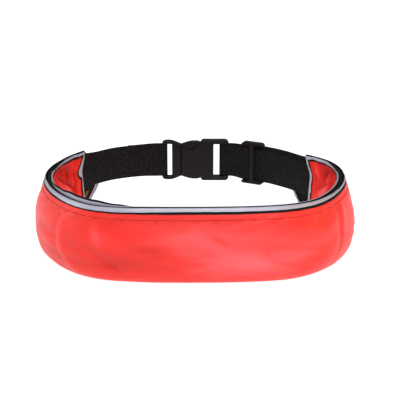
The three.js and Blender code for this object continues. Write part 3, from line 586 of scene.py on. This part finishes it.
def row_tree(title):
    """Puts a small solid at even steps along a line, its length across or along the line."""
    tree = bpy.data.node_groups.new(title, "GeometryNodeTree")
    put = tree.interface.new_socket
    put(name="Line", in_out="INPUT", socket_type="NodeSocketGeometry")
    for name in ("Pitch", "Length", "Width", "Height"):
        put(name=name, in_out="INPUT", socket_type="NodeSocketFloat")
    put(name="Finish", in_out="INPUT", socket_type="NodeSocketMaterial")
    put(name="Row", in_out="OUTPUT", socket_type="NodeSocketGeometry")
    add = tree.nodes.new
    link = tree.links.new
    given, result = add("NodeGroupInput"), add("NodeGroupOutput")
    to_curve, to_points = add("GeometryNodeMeshToCurve"), add("GeometryNodeCurveToPoints")
    to_points.mode = "LENGTH"
    bead = add("GeometryNodeMeshUVSphere")
    bead.inputs["Segments"].default_value = 8
    bead.inputs["Rings"].default_value = 5
    bead.inputs["Radius"].default_value = 0.5
    size = add("ShaderNodeCombineXYZ")
    link(given.outputs["Width"], size.inputs["X"])
    link(given.outputs["Height"], size.inputs["Y"])
    link(given.outputs["Length"], size.inputs["Z"])
    turn = add("FunctionNodeAxesToRotation")
    turn.primary_axis, turn.secondary_axis = "Z", "Y"
    normal = add("GeometryNodeInputNamedAttribute")
    normal.data_type = "FLOAT_VECTOR"
    normal.inputs["Name"].default_value = "up"
    keep = add("GeometryNodeCaptureAttribute")
    keep.capture_items.new("VECTOR", "up")
    place = add("GeometryNodeInstanceOnPoints")
    solid, paint = add("GeometryNodeRealizeInstances"), add("GeometryNodeSetMaterial")
    smooth = add("GeometryNodeSetShadeSmooth")
    link(given.outputs["Line"], to_curve.inputs["Mesh"])
    link(to_curve.outputs["Curve"], keep.inputs["Geometry"])
    link(normal.outputs["Attribute"], keep.inputs[1])
    link(keep.outputs["Geometry"], to_points.inputs["Curve"])
    link(given.outputs["Pitch"], to_points.inputs["Length"])
    link(to_points.outputs["Points"], place.inputs["Points"])
    link(bead.outputs["Mesh"], place.inputs["Instance"])
    link(to_points.outputs["Tangent"], turn.inputs["Primary Axis"])
    link(keep.outputs[1], turn.inputs["Secondary Axis"])
    link(turn.outputs["Rotation"], place.inputs["Rotation"])
    link(size.outputs["Vector"], place.inputs["Scale"])
    link(place.outputs["Instances"], solid.inputs["Geometry"])
    link(solid.outputs["Geometry"], smooth.inputs["Geometry"])
    link(smooth.outputs["Geometry"], paint.inputs["Geometry"])
    link(given.outputs["Finish"], paint.inputs["Material"])
    link(paint.outputs["Geometry"], result.inputs["Row"])
    return tree


sewing_row = row_tree("sewing_row")


def row_of(name, points, ups, finish, **sizes):
    """Runs sewing_row on a line of points in millimetres and keeps the plain mesh it makes."""
    mesh = bpy.data.meshes.new(name + "_line")
    mesh.from_pydata([metres(p) for p in points], [(i, i + 1) for i in range(len(points) - 1)], [])
    up = mesh.attributes.new("up", "FLOAT_VECTOR", "POINT")
    for i, direction in enumerate(ups):
        up.data[i].vector = direction
    line = bpy.data.objects.new(name + "_line", mesh)
    bpy.context.scene.collection.objects.link(line)
    modifier = line.modifiers.new("row", "NODES")
    modifier.node_group = sewing_row
    for item in sewing_row.interface.items_tree:
        if item.in_out == "INPUT" and item.name in sizes:
            modifier[item.identifier] = sizes[item.name] / 1000
        elif item.in_out == "INPUT" and item.name == "Finish":
            modifier[item.identifier] = finish
    bpy.context.view_layer.update()
    ready = line.evaluated_get(bpy.context.evaluated_depsgraph_get())
    made = bpy.data.meshes.new_from_object(ready)
    piece = bpy.data.objects.new(name, made)
    made.name = name
    bpy.context.scene.collection.objects.link(piece)
    bpy.data.objects.remove(line)
    return piece


coil_plastic = plain_material("coil_plastic", (0.006, 0.006, 0.007), 0.5, 0.2)
coil_line = [zip_line(i, COIL_STEPS, 0, BAG_HEIGHT - COIL_SINK)
             for i in range(COIL_STEPS + 1)]
zip_coil = row_of("zip_coil", coil_line, [(0, 0, 1)] * len(coil_line), coil_plastic,
                  Pitch=COIL_PITCH, Length=0.9, Width=2.6, Height=1.1)
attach(zip_coil, "root")


# Edge tapes: black woven tape folded over each lip of the bag and sewn down, along the zip and
# down the edges of both mouths. On the inner side it puckers with the cloth.
END_STEPS = 26
TRIM_STEPS = 260
TRIM_ROWS = TRIM_STEPS + 2 * END_STEPS
TRIM_FOOT = 0.86
FULL_SETBACK = 1.7


def down_at(panel, along, distance):
    """How far down the panel a distance from its top edge is."""
    down, walked, step = 0, 0, 0.02
    while walked < distance and down < 1:
        stretch = (panel_point(panel, along, down + step) - panel_point(panel, along, down)).length
        part = min(1, (distance - walked) / stretch)
        walked += stretch
        down += step * part
    return down


def border(panel, i, inset):
    """A place a given distance in from the panel's edge: up one end, along the zip, down."""
    margin = inset / zip_path.length
    if i < END_STEPS or i > TRIM_ROWS - END_STEPS:
        along = margin if i < END_STEPS else 1 - margin
        share = (i if i < END_STEPS else TRIM_ROWS - i) / END_STEPS
        return along, mix(TRIM_FOOT, down_at(panel, along, inset), share)
    along = mix(margin, 1 - margin, station(i - END_STEPS, TRIM_STEPS))
    return along, down_at(panel, along, inset)


def eased(table, x):
    """The values of a table of (place, value, ...) at x, eased from row to row."""
    k = next((k for k in range(1, len(table)) if x <= table[k][0]), len(table) - 1)
    t = smoothstep(x, table[k - 1][0], table[k][0])
    return [mix(a, b, t) for a, b in zip(table[k - 1][1:], table[k][1:])]


def edge_sheet(panel, name, under, over, ripple, form):
    """A tape whose section is two lists of (distance in from the edge, height off the cloth).

    The form's rows are (share of the whole tape, share of the width, distance back from the
    edge). Where it sits back from the edge, it no longer wraps over it.
    """
    walked, last, grids, measure = 0, None, ([], []), []
    for i in range(TRIM_ROWS + 1):
        edge, normal = panel_frame(panel, *border(panel, i, 0))
        inward = (panel_frame(panel, *border(panel, i, 1))[0] - edge).normalized()
        walked += (edge - last).length if last else 0
        last = edge
        wide, back = eased(form, i / TRIM_ROWS)
        cache = {}
        for grid, section in zip(grids, (under, over)):
            line = []
            for inset, lift in section:
                if inset <= 0:
                    lift = mix(lift, section[-1][1], min(1, back / FULL_SETBACK))
                    inset += back
                else:
                    inset = inset * wide + back
                if inset <= 0:
                    line.append(edge + inward * inset + normal * lift)
                    continue
                sway = ripple * noise.noise(Vector((walked / 9, inset / 9, 4)))
                sway *= smoothstep(inset, 0, 4)
                key = round(inset, 3)
                if key not in cache:
                    cache[key] = panel_frame(panel, *border(panel, i, max(0.3, inset + sway)))
                spot, away = cache[key]
                line.append(spot + away * lift)
            grid.append(line)
        measure.append([(walked, inset) for inset, lift in under])
    return slab(name, grids[0], grids[1], measure)


EVEN_FORM = [(0, 1, 0), (1, 1, 0)]
INNER_TAPE_FORM = [
    (0, 1, 0), (0.049, 1, 0), (0.064, 2.3, 0), (0.075, 1.5, 0), (0.083, 1.1, 0),
    (0.13, 0.8, 0), (0.25, 0.65, 0), (0.33, 1, 0), (0.68, 1, 0), (0.76, 0.7, 0),
    (0.87, 0.8, 0), (0.93, 1.15, 0), (1, 1.05, 0),
]
for panel, width, ripple, form in (("outer", 5.4, 0.3, EVEN_FORM),
                                   ("inner", 3.9, 1.4, INNER_TAPE_FORM)):
    insets = (0.3, 0.4 * width, 0.7 * width, width)
    tape_under = [(-0.30, -0.95), (-0.30, 0.05)] + [(inset, 0.35) for inset in insets]
    tape_over = [(-0.75, -0.95), (-0.70, 0.35)] + [(inset, 0.80) for inset in insets]
    tape = edge_sheet(panel, panel + "_tape", tape_under, tape_over, ripple, form)
    tape.data.materials.append(black_tape)
    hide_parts(panel + "_edge_tape")
    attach(tape, "root")


# Reflective stripes: silver ribbon with glass beads, sewn on the tape beside the zip. The outer
# one is broad in front and narrow towards the mouths, the inner one creased and uneven.
silver = plain_material("silver_ribbon", (0.40, 0.40, 0.48), 0.5)
silver_shader = shader_of(silver)
silver_shader.inputs["Metallic"].default_value = 0.25
silver_link = silver.node_tree.links.new
silver_place = node(silver, "ShaderNodeTexCoord")
silver_cloud = node(silver, "ShaderNodeTexNoise", Scale=60.0, Detail=5.0)
silver_beads = node(silver, "ShaderNodeTexNoise", Scale=2600.0, Detail=1.0)
silver_tone = node(silver, "ShaderNodeMix", data_type="RGBA")
silver_tone.inputs["A"].default_value = (0.32, 0.32, 0.38, 1)
silver_tone.inputs["B"].default_value = (0.46, 0.46, 0.55, 1)
silver_bump = node(silver, "ShaderNodeBump", Strength=0.3, Distance=0.0004)
silver_grain = node(silver, "ShaderNodeBump", Strength=0.3, Distance=0.00005)
for texture in (silver_cloud, silver_beads):
    silver_link(silver_place.outputs["UV"], texture.inputs["Vector"])
silver_link(silver_cloud.outputs["Fac"], silver_tone.inputs["Factor"])
silver_link(silver_tone.outputs["Result"], silver_shader.inputs["Base Color"])
silver_link(silver_cloud.outputs["Fac"], silver_bump.inputs["Height"])
silver_link(silver_beads.outputs["Fac"], silver_grain.inputs["Height"])
silver_link(silver_bump.outputs["Normal"], silver_grain.inputs["Normal"])
silver_link(silver_grain.outputs["Normal"], silver_shader.inputs["Normal"])

OUTER_STRIPE_FORM = [
    (0, 0.4, 1.7), (0.24, 0.4, 1.7), (0.29, 0.45, 1.3), (0.35, 0.9, 0.2), (0.395, 1.35, 0),
    (0.43, 1.3, 0), (0.50, 0.95, 0), (0.585, 1, 0), (0.63, 0.75, 0.3), (0.66, 0.45, 1),
    (0.70, 0.3, 1.5), (0.74, 0.3, 1.7), (1, 0.4, 1.7),
]
INNER_STRIPE_FORM = [
    (0, 0.8, 0), (0.049, 0.8, 0), (0.064, 3.4, 0), (0.075, 1.9, 0), (0.083, 0.8, 0),
    (0.13, 0.5, 0), (0.20, 0.3, 0.2), (0.26, 0.2, 0.5), (0.33, 0.9, 0), (0.68, 0.9, 0),
    (0.75, 0.3, 0.4), (0.81, 0.5, 0.1), (0.90, 0.7, 0), (0.93, 1.6, 0), (1, 1.2, 0),
]
for panel, width, wrap, ripple, form in (("outer", 3.0, -0.6, 0.3, OUTER_STRIPE_FORM),
                                         ("inner", 2.3, 0.2, 2.4, INNER_STRIPE_FORM)):
    insets = (0.3, 0.5 * width, width)
    stripe_under = [(-0.85, wrap), (-0.82, 0.45)] + [(inset, 0.95) for inset in insets]
    stripe_over = [(-1.10, wrap), (-1.05, 0.65)] + [(inset, 1.30) for inset in insets]
    stripe = edge_sheet(panel, panel + "_stripe", stripe_under, stripe_over, ripple, form)
    stripe.data.materials.append(silver)
    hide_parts(panel + "_reflective_stripe")
    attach(stripe, "root")

# Facings of the same ribbon, sewn along the inside of the outer panel's two lips.
FACING_STEP = 3
FACING_LIFTS = (-1.25, -1.55)
facing_lines = {}
for side, first, insets in (("left", 0, (0.9, 2.6, 4.6)),
                            ("right", TRIM_STEPS + END_STEPS, (0.1, 1.1, 2.2))):
    steps = range(first, first + END_STEPS + 1)
    facing_grids = ([], [])
    for i in steps:
        line = [panel_frame("outer", *border("outer", i, inset)) for inset in insets]
        for grid, lift in zip(facing_grids, FACING_LIFTS):
            grid.append([spot + away * lift for spot, away in line])
    facing_lines[side] = facing_grids[1]
    facing = slab(side + "_mouth_facing", facing_grids[0], facing_grids[1],
                  [[(i * FACING_STEP, inset) for inset in insets] for i in steps])
    facing.data.materials.append(silver)
    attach(facing, "root")

# At the left front the inner lip stands a little above the zip and leans back, so its stripe
# and the black tape behind it both show from in front.
FOLD_FIRST, FOLD_LAST = 0.185, 0.43
FOLD_STEPS = 90
FOLD_FOOT = -0.5
FOLD_RISE = 3.3
LEAN = 0.6
LEAN_START = 1.1
for name, finish, slot, high, lifts in (
        ("inner_stripe_fold", silver, "reflective", 1, (-1.12, -1.36)),
        ("inner_tape_fold", black_tape, "edge_tape", 1.35, (-0.55, -1.08))):
    fold_grids, fold_measure = ([], []), []
    for i in range(FOLD_STEPS + 1):
        along = mix(FOLD_FIRST, FOLD_LAST, i / FOLD_STEPS)
        spot, away = panel_frame("inner", along, 0)
        rise = FOLD_RISE * math.sin(math.pi * i / FOLD_STEPS) ** 0.7
        rise *= 1 + 0.25 * noise.noise(Vector((i / 11, 0, 2)))
        levels = [mix(FOLD_FOOT, high * rise, k / 3) for k in range(4)]
        for grid, lift in zip(fold_grids, lifts):
            grid.append([spot + away * (lift + LEAN * max(0, level - LEAN_START))
                         + Vector((0, 0, level)) for level in levels])
        fold_measure.append([(along * zip_path.length, level) for level in levels])
    folded = slab(name, fold_grids[0], fold_grids[1], fold_measure)
    folded.data.materials.append(finish)
    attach(folded, "root")


# Sewing: red thread through the outer panel below the tape, where a casing is sewn in. The thread
# is made dark, partly its own colour and partly painted shade of the dimples the stitches pucker
# into the cloth. Black thread runs along the outer edge of every tape and on the left mouth's
# facing.
CASING_DEPTH = 11.5
SEAM_STEPS = 420
dimple_shaded_thread = plain_material("dimple_shaded_thread", (0.10, 0.003, 0.004), 0.6, 0.2)
black_thread = plain_material("black_thread", (0.006, 0.006, 0.007), 0.6, 0.2)


def seam(panel, first, last, distance, lift):
    spots = [panel_frame(panel, along, down_at(panel, along, distance))
             for along in (mix(first, last, k / SEAM_STEPS) for k in range(SEAM_STEPS + 1))]
    return [spot + away * lift for spot, away in spots], [away for spot, away in spots]


line, ups = seam("outer", 0.06, 0.94, CASING_DEPTH, lift=0.10)
casing_thread = row_of("casing_thread", line, ups, dimple_shaded_thread,
                       Pitch=2.9, Length=1.4, Width=0.9, Height=0.6)
threads = [casing_thread]
line = [row[1] for row in facing_lines["left"]]
ups = [(row[2] - row[0]).cross(Vector((0, 0, 1))).normalized() for row in facing_lines["left"]]
threads.append(row_of("left_facing_thread", line, ups, black_thread,
                      Pitch=2.2, Length=1.1, Width=1.6, Height=0.5))
for panel, distance in (("outer", 4.6), ("inner", 3.2)):
    line, ups = seam(panel, 0.02, 0.98, distance, lift=0.86)
    threads.append(row_of(panel + "_tape_thread", line, ups, black_thread,
                          Pitch=2.6, Length=1.8, Width=0.35, Height=0.3))
for thread in threads:
    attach(thread, "root")


# Pull tab: a folded end of brown woven tape, sewn low inside the left mouth.
brown_tape = woven_material("brown_woven_tape", (0.20, 0.070, 0.010),
                            thread_scale=260, roughness=0.8, bump=0.00015)
TAB_INSET = LEFT_LIP_OVERHANG / 3 + 1.8
TAB_WIDTH = 4
TAB_TOP = 0.60
TAB_FOOT = TAB_TOP + 9 / BAG_HEIGHT
TAB_WEAVE = (5, 10)
TAB_ROWS = 12
TAB_COLUMNS = 6
tab_sewn_side, tab_free_side, tab_measure = [], [], []
for i in range(TAB_ROWS + 1):
    down = mix(TAB_TOP, TAB_FOOT, i / TAB_ROWS)
    shares = [j / TAB_COLUMNS for j in range(TAB_COLUMNS + 1)]
    insets = [TAB_INSET + share * TAB_WIDTH for share in shares]
    line = [panel_frame("outer", inset / zip_path.length, down) for inset in insets]
    swells = [0.5 * math.sin(math.pi * i / TAB_ROWS) + 0.25 * math.sin(math.pi * share)
              for share in shares]
    tab_sewn_side.append([spot - 1.3 * away for spot, away in line])
    tab_free_side.append([spot - (2.3 + swell) * away for (spot, away), swell in zip(line, swells)])
    tab_measure.append([(share * TAB_WEAVE[0], i / TAB_ROWS * TAB_WEAVE[1]) for share in shares])
tab = slab("mouth_pull_tab", tab_sewn_side, tab_free_side, tab_measure)
tab.data.materials.append(brown_tape)
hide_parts("mouth_tab")
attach(tab, "root")


# Belt: one length of 40 mm ribbed polypropylene webbing. It is sewn back on itself round the
# plug's bar, runs through the bag, and comes back from the socket's bar as the adjusting tail.
WEBBING_WIDTH = 40
WEBBING_THICKNESS = 1.5
BELT_HEIGHT = 56.5
HIDDEN_BELT_HEIGHT = 42
SEWN_END = 45
TAIL_DROP = 5
TAIL_INSIDE_BAG = 25
BAR_THICKNESS = 4
GAP = 0.3
PLUG_REACH = 40
PLUG_BAR = 4.6
SOCKET_BAR = 9.4
STRAIGHT_RUN = 6
PLUG_TURN_X = -PLUG_REACH + PLUG_BAR - BAR_THICKNESS / 2
SOCKET_TURN_X = SOCKET_REACH - SOCKET_BAR + BAR_THICKNESS / 2
SLIDER_START = 25
BAR_SPREAD = BAR_THICKNESS + 2 * GAP + WEBBING_THICKNESS
LAYER_SPREAD = WEBBING_THICKNESS + GAP
RIB_PITCH = 2.7
PICK_PITCH = 1.1
BELT_STEP = 2.5
HIDDEN_STEPS = 24
STRAP_PLAN = {
    # across, along, and how much of the tail's drop is taken up
    "left": [(-0.394, 0.978, 0), (-0.525, 0.930, 0), (-0.644, 0.860, -0.1), (-0.733, 0.790, -0.3)],
    "right": [(0.745, 0.645, 0.2), (0.688, 0.708, 0.3), (0.620, 0.790, 0.3), (0.530, 0.868, 0.3),
              (0.439, 0.930, 0.25), (0.349, 0.972, 0.1)],
}


def hidden_belt(share):
    point, outward, t = zip_path.at(share * zip_path.length)
    z = mix(BELT_HEIGHT, HIDDEN_BELT_HEIGHT, max(0, math.sin(math.pi * share)) ** 0.5)
    top = min(0.98, (z + WEBBING_WIDTH / 2) / BAG_HEIGHT)
    fullness = teardrop(math.acos(2 * top - 1)) / TEARDROP_PEAK
    wall = LIP_HALF_GAP + BULGE * plan_share(3, t) * fullness
    spot = point - outward * max(0, wall - CLOTH - WEBBING_THICKNESS - 3 * GAP)
    return Vector((spot.x, spot.y, z))


def strap_points(side):
    return [Vector((across * ZIP_HALF_WIDTH, along * BUCKLE_REACH, BELT_HEIGHT + lift * TAIL_DROP))
            for across, along, lift in STRAP_PLAN[side]]


def buckle_points(*across):
    return [Vector((x, BUCKLE_REACH, BELT_HEIGHT)) for x in across]


belt_points = buckle_points(PLUG_TURN_X, -PLUG_REACH - STRAIGHT_RUN) + strap_points("left")
belt_points += [hidden_belt(i / HIDDEN_STEPS) for i in range(HIDDEN_STEPS + 1)]
right_mouth = len(belt_points) - 1
belt_points += strap_points("right") + buckle_points(SOCKET_REACH + STRAIGHT_RUN, SOCKET_TURN_X)
belt = Path(belt_points)
TAIL_LENGTH = belt.length - belt.marks[ROW_STEPS * right_mouth] + TAIL_INSIDE_BAG


def spread(from_bar):
    return mix(BAR_SPREAD, LAYER_SPREAD, smoothstep(from_bar, SOCKET_BAR, SOCKET_BAR + 16))


def main_layer(distance):
    point, outward, t = belt.at(distance)
    to_socket = belt.length - distance
    left = -spread(distance) / 2 * (1 - smoothstep(distance, SEWN_END, SEWN_END + 40))
    right = spread(to_socket) / 2 * (1 - smoothstep(to_socket, TAIL_LENGTH, TAIL_LENGTH + 40))
    return point + outward * (left + right)


def sewn_end(distance):
    point, outward, t = belt.at(distance)
    return point + outward * spread(distance) / 2


def tail_layer(to_socket):
    point, outward, t = belt.at(belt.length - to_socket)
    drop = TAIL_DROP * smoothstep(to_socket, SOCKET_BAR, SOCKET_BAR + SLIDER_START)
    return point - outward * spread(to_socket) / 2 - Vector((0, 0, drop))


def bar_turn(centre, side):
    angles = [math.pi * k / 16 for k in range(1, 16)]
    return [Vector((centre + side * BAR_SPREAD / 2 * math.sin(a),
                    BUCKLE_REACH + BAR_SPREAD / 2 * math.cos(a), BELT_HEIGHT)) for a in angles]


def run(first, last, layer):
    steps = max(1, round(abs(last - first) / BELT_STEP))
    return [layer(mix(first, last, k / steps)) for k in range(steps + 1)]


webbing_line = run(SEWN_END, 0, sewn_end) + bar_turn(PLUG_TURN_X, 1)
webbing_line += run(0, belt.length, main_layer)
webbing_line += bar_turn(SOCKET_TURN_X, -1) + run(0, TAIL_LENGTH, tail_layer)
heights = [-0.5, -0.475, -0.35, -0.18, 0, 0.18, 0.35, 0.475, 0.5]
webbing_grids, webbing_measure, walked = ([], []), [], 0
for i, spot in enumerate(webbing_line):
    before = webbing_line[max(0, i - 1)]
    after = webbing_line[min(len(webbing_line) - 1, i + 1)]
    across = Vector((after.y - before.y, before.x - after.x, 0)).normalized()
    walked += (spot - before).length if i else 0
    wander = 0.22 * noise.noise(Vector((walked / 16, 0, 9)))
    for grid, side in zip(webbing_grids, (1, -1)):
        half = side * WEBBING_THICKNESS / 2
        grid.append([spot + across * half * (0.45 if abs(h) == 0.5 else 1)
                     + Vector((0, 0, h * WEBBING_WIDTH + wander)) for h in heights])
    webbing_measure.append([(walked, h * WEBBING_WIDTH) for h in heights])
webbing = slab("belt_webbing_ribbed", webbing_grids[0], webbing_grids[1], webbing_measure)

ribbed = plain_material("ribbed_webbing", (0.004, 0.004, 0.004), 0.65, 0.12)
ribbed_shader = shader_of(ribbed)
ribbed_link = ribbed.node_tree.links.new
ribbed_place = node(ribbed, "ShaderNodeTexCoord")
# a wave texture of this scale repeats every millimetre of cloth
WAVE_SCALE = 314.16
ribs = node(ribbed, "ShaderNodeTexWave", Scale=WAVE_SCALE / RIB_PITCH, bands_direction="X")
picks = node(ribbed, "ShaderNodeTexWave", Scale=WAVE_SCALE / PICK_PITCH, bands_direction="Y")
# Painted highlight: lighter specks on the rib crests stand in for glints on the shiny fibres.
painted_glint_specks = node(ribbed, "ShaderNodeTexNoise", Scale=620.0, Detail=2.0)
stretch = node(ribbed, "ShaderNodeMapping")
stretch.inputs["Scale"].default_value = (1, 0.45, 1)
glint_strength = node(ribbed, "ShaderNodeMapRange", **{"From Min": 0.45, "From Max": 0.85})
lit = node(ribbed, "ShaderNodeMath", operation="MULTIPLY")
rib_glint_tone = node(ribbed, "ShaderNodeMix", data_type="RGBA")
rib_glint_tone.inputs["A"].default_value = (0.003, 0.003, 0.003, 1)
rib_glint_tone.inputs["B"].default_value = (0.040, 0.040, 0.042, 1)
relief = node(ribbed, "ShaderNodeMath", operation="MULTIPLY_ADD")
relief.inputs[1].default_value = 0.25
rib_bump = node(ribbed, "ShaderNodeBump", Strength=0.8, Distance=0.0006)
ribbed_link(ribbed_place.outputs["UV"], ribs.inputs["Vector"])
ribbed_link(ribbed_place.outputs["UV"], picks.inputs["Vector"])
ribbed_link(ribbed_place.outputs["UV"], stretch.inputs["Vector"])
ribbed_link(stretch.outputs["Vector"], painted_glint_specks.inputs["Vector"])
ribbed_link(painted_glint_specks.outputs["Fac"], glint_strength.inputs["Value"])
ribbed_link(glint_strength.outputs["Result"], lit.inputs[0])
ribbed_link(ribs.outputs["Fac"], lit.inputs[1])
ribbed_link(lit.outputs[0], rib_glint_tone.inputs["Factor"])
ribbed_link(rib_glint_tone.outputs["Result"], ribbed_shader.inputs["Base Color"])
ribbed_link(picks.outputs["Fac"], relief.inputs[0])
ribbed_link(ribs.outputs["Fac"], relief.inputs[2])
ribbed_link(relief.outputs[0], rib_bump.inputs["Height"])
ribbed_link(rib_bump.outputs["Normal"], ribbed_shader.inputs["Normal"])
webbing.data.materials.append(ribbed)
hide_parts("belt_webbing")
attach(webbing, "root")


# Buckle and slider: moulded acetal, satin black with a fine spark-eroded grain. Every edge is
# rounded as it leaves the mould, so each part is re-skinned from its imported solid.
VOXEL = 0.5
satin = plain_material("satin_black_plastic", (0.0045, 0.0045, 0.007), 0.42, 0.2)
satin_shader = shader_of(satin)
satin_link = satin.node_tree.links.new
satin_place = node(satin, "ShaderNodeTexCoord")
satin_grain = node(satin, "ShaderNodeTexNoise", Scale=1800.0, Detail=2.0)
satin_cloud = node(satin, "ShaderNodeTexNoise", Scale=40.0, Detail=3.0)
satin_rough = node(satin, "ShaderNodeMapRange", **{"To Min": 0.34, "To Max": 0.5})
satin_bump = node(satin, "ShaderNodeBump", Strength=0.2, Distance=0.00008)
satin_link(satin_place.outputs["Object"], satin_grain.inputs["Vector"])
satin_link(satin_place.outputs["Object"], satin_cloud.inputs["Vector"])
satin_link(satin_cloud.outputs["Fac"], satin_rough.inputs["Value"])
satin_link(satin_rough.outputs["Result"], satin_shader.inputs["Roughness"])
satin_link(satin_grain.outputs["Fac"], satin_bump.inputs["Height"])
satin_link(satin_bump.outputs["Normal"], satin_shader.inputs["Normal"])


def moulded(name, cad_name, rounds):
    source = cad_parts[cad_name]
    mesh = source.data.copy()
    mesh.name = name
    mesh.transform(source.matrix_world)
    merged = bmesh.new()
    merged.from_mesh(mesh)
    bmesh.ops.remove_doubles(merged, verts=merged.verts, dist=1e-6)
    merged.to_mesh(mesh)
    merged.free()
    rough_cast = bpy.data.objects.new(name + "_cast", mesh)
    bpy.context.scene.collection.objects.link(rough_cast)
    skin = rough_cast.modifiers.new("skin", "REMESH")
    skin.mode = "VOXEL"
    skin.voxel_size = VOXEL / 1000
    ease = rough_cast.modifiers.new("ease", "SMOOTH")
    ease.factor = 0.5
    ease.iterations = rounds
    bpy.context.view_layer.update()
    ready = rough_cast.evaluated_get(bpy.context.evaluated_depsgraph_get())
    made = bpy.data.meshes.new_from_object(ready)
    made.materials.clear()
    made.materials.append(satin)
    made.shade_smooth()
    piece = bpy.data.objects.new(name, made)
    bpy.context.scene.collection.objects.link(piece)
    bpy.data.objects.remove(rough_cast)
    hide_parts(cad_name)
    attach(piece, "root")


moulded("plug_moulding", "buckle_plug", rounds=2)
moulded("socket_moulding", "buckle_socket", rounds=2)
moulded("slider_moulding", "belt_slider", rounds=3)
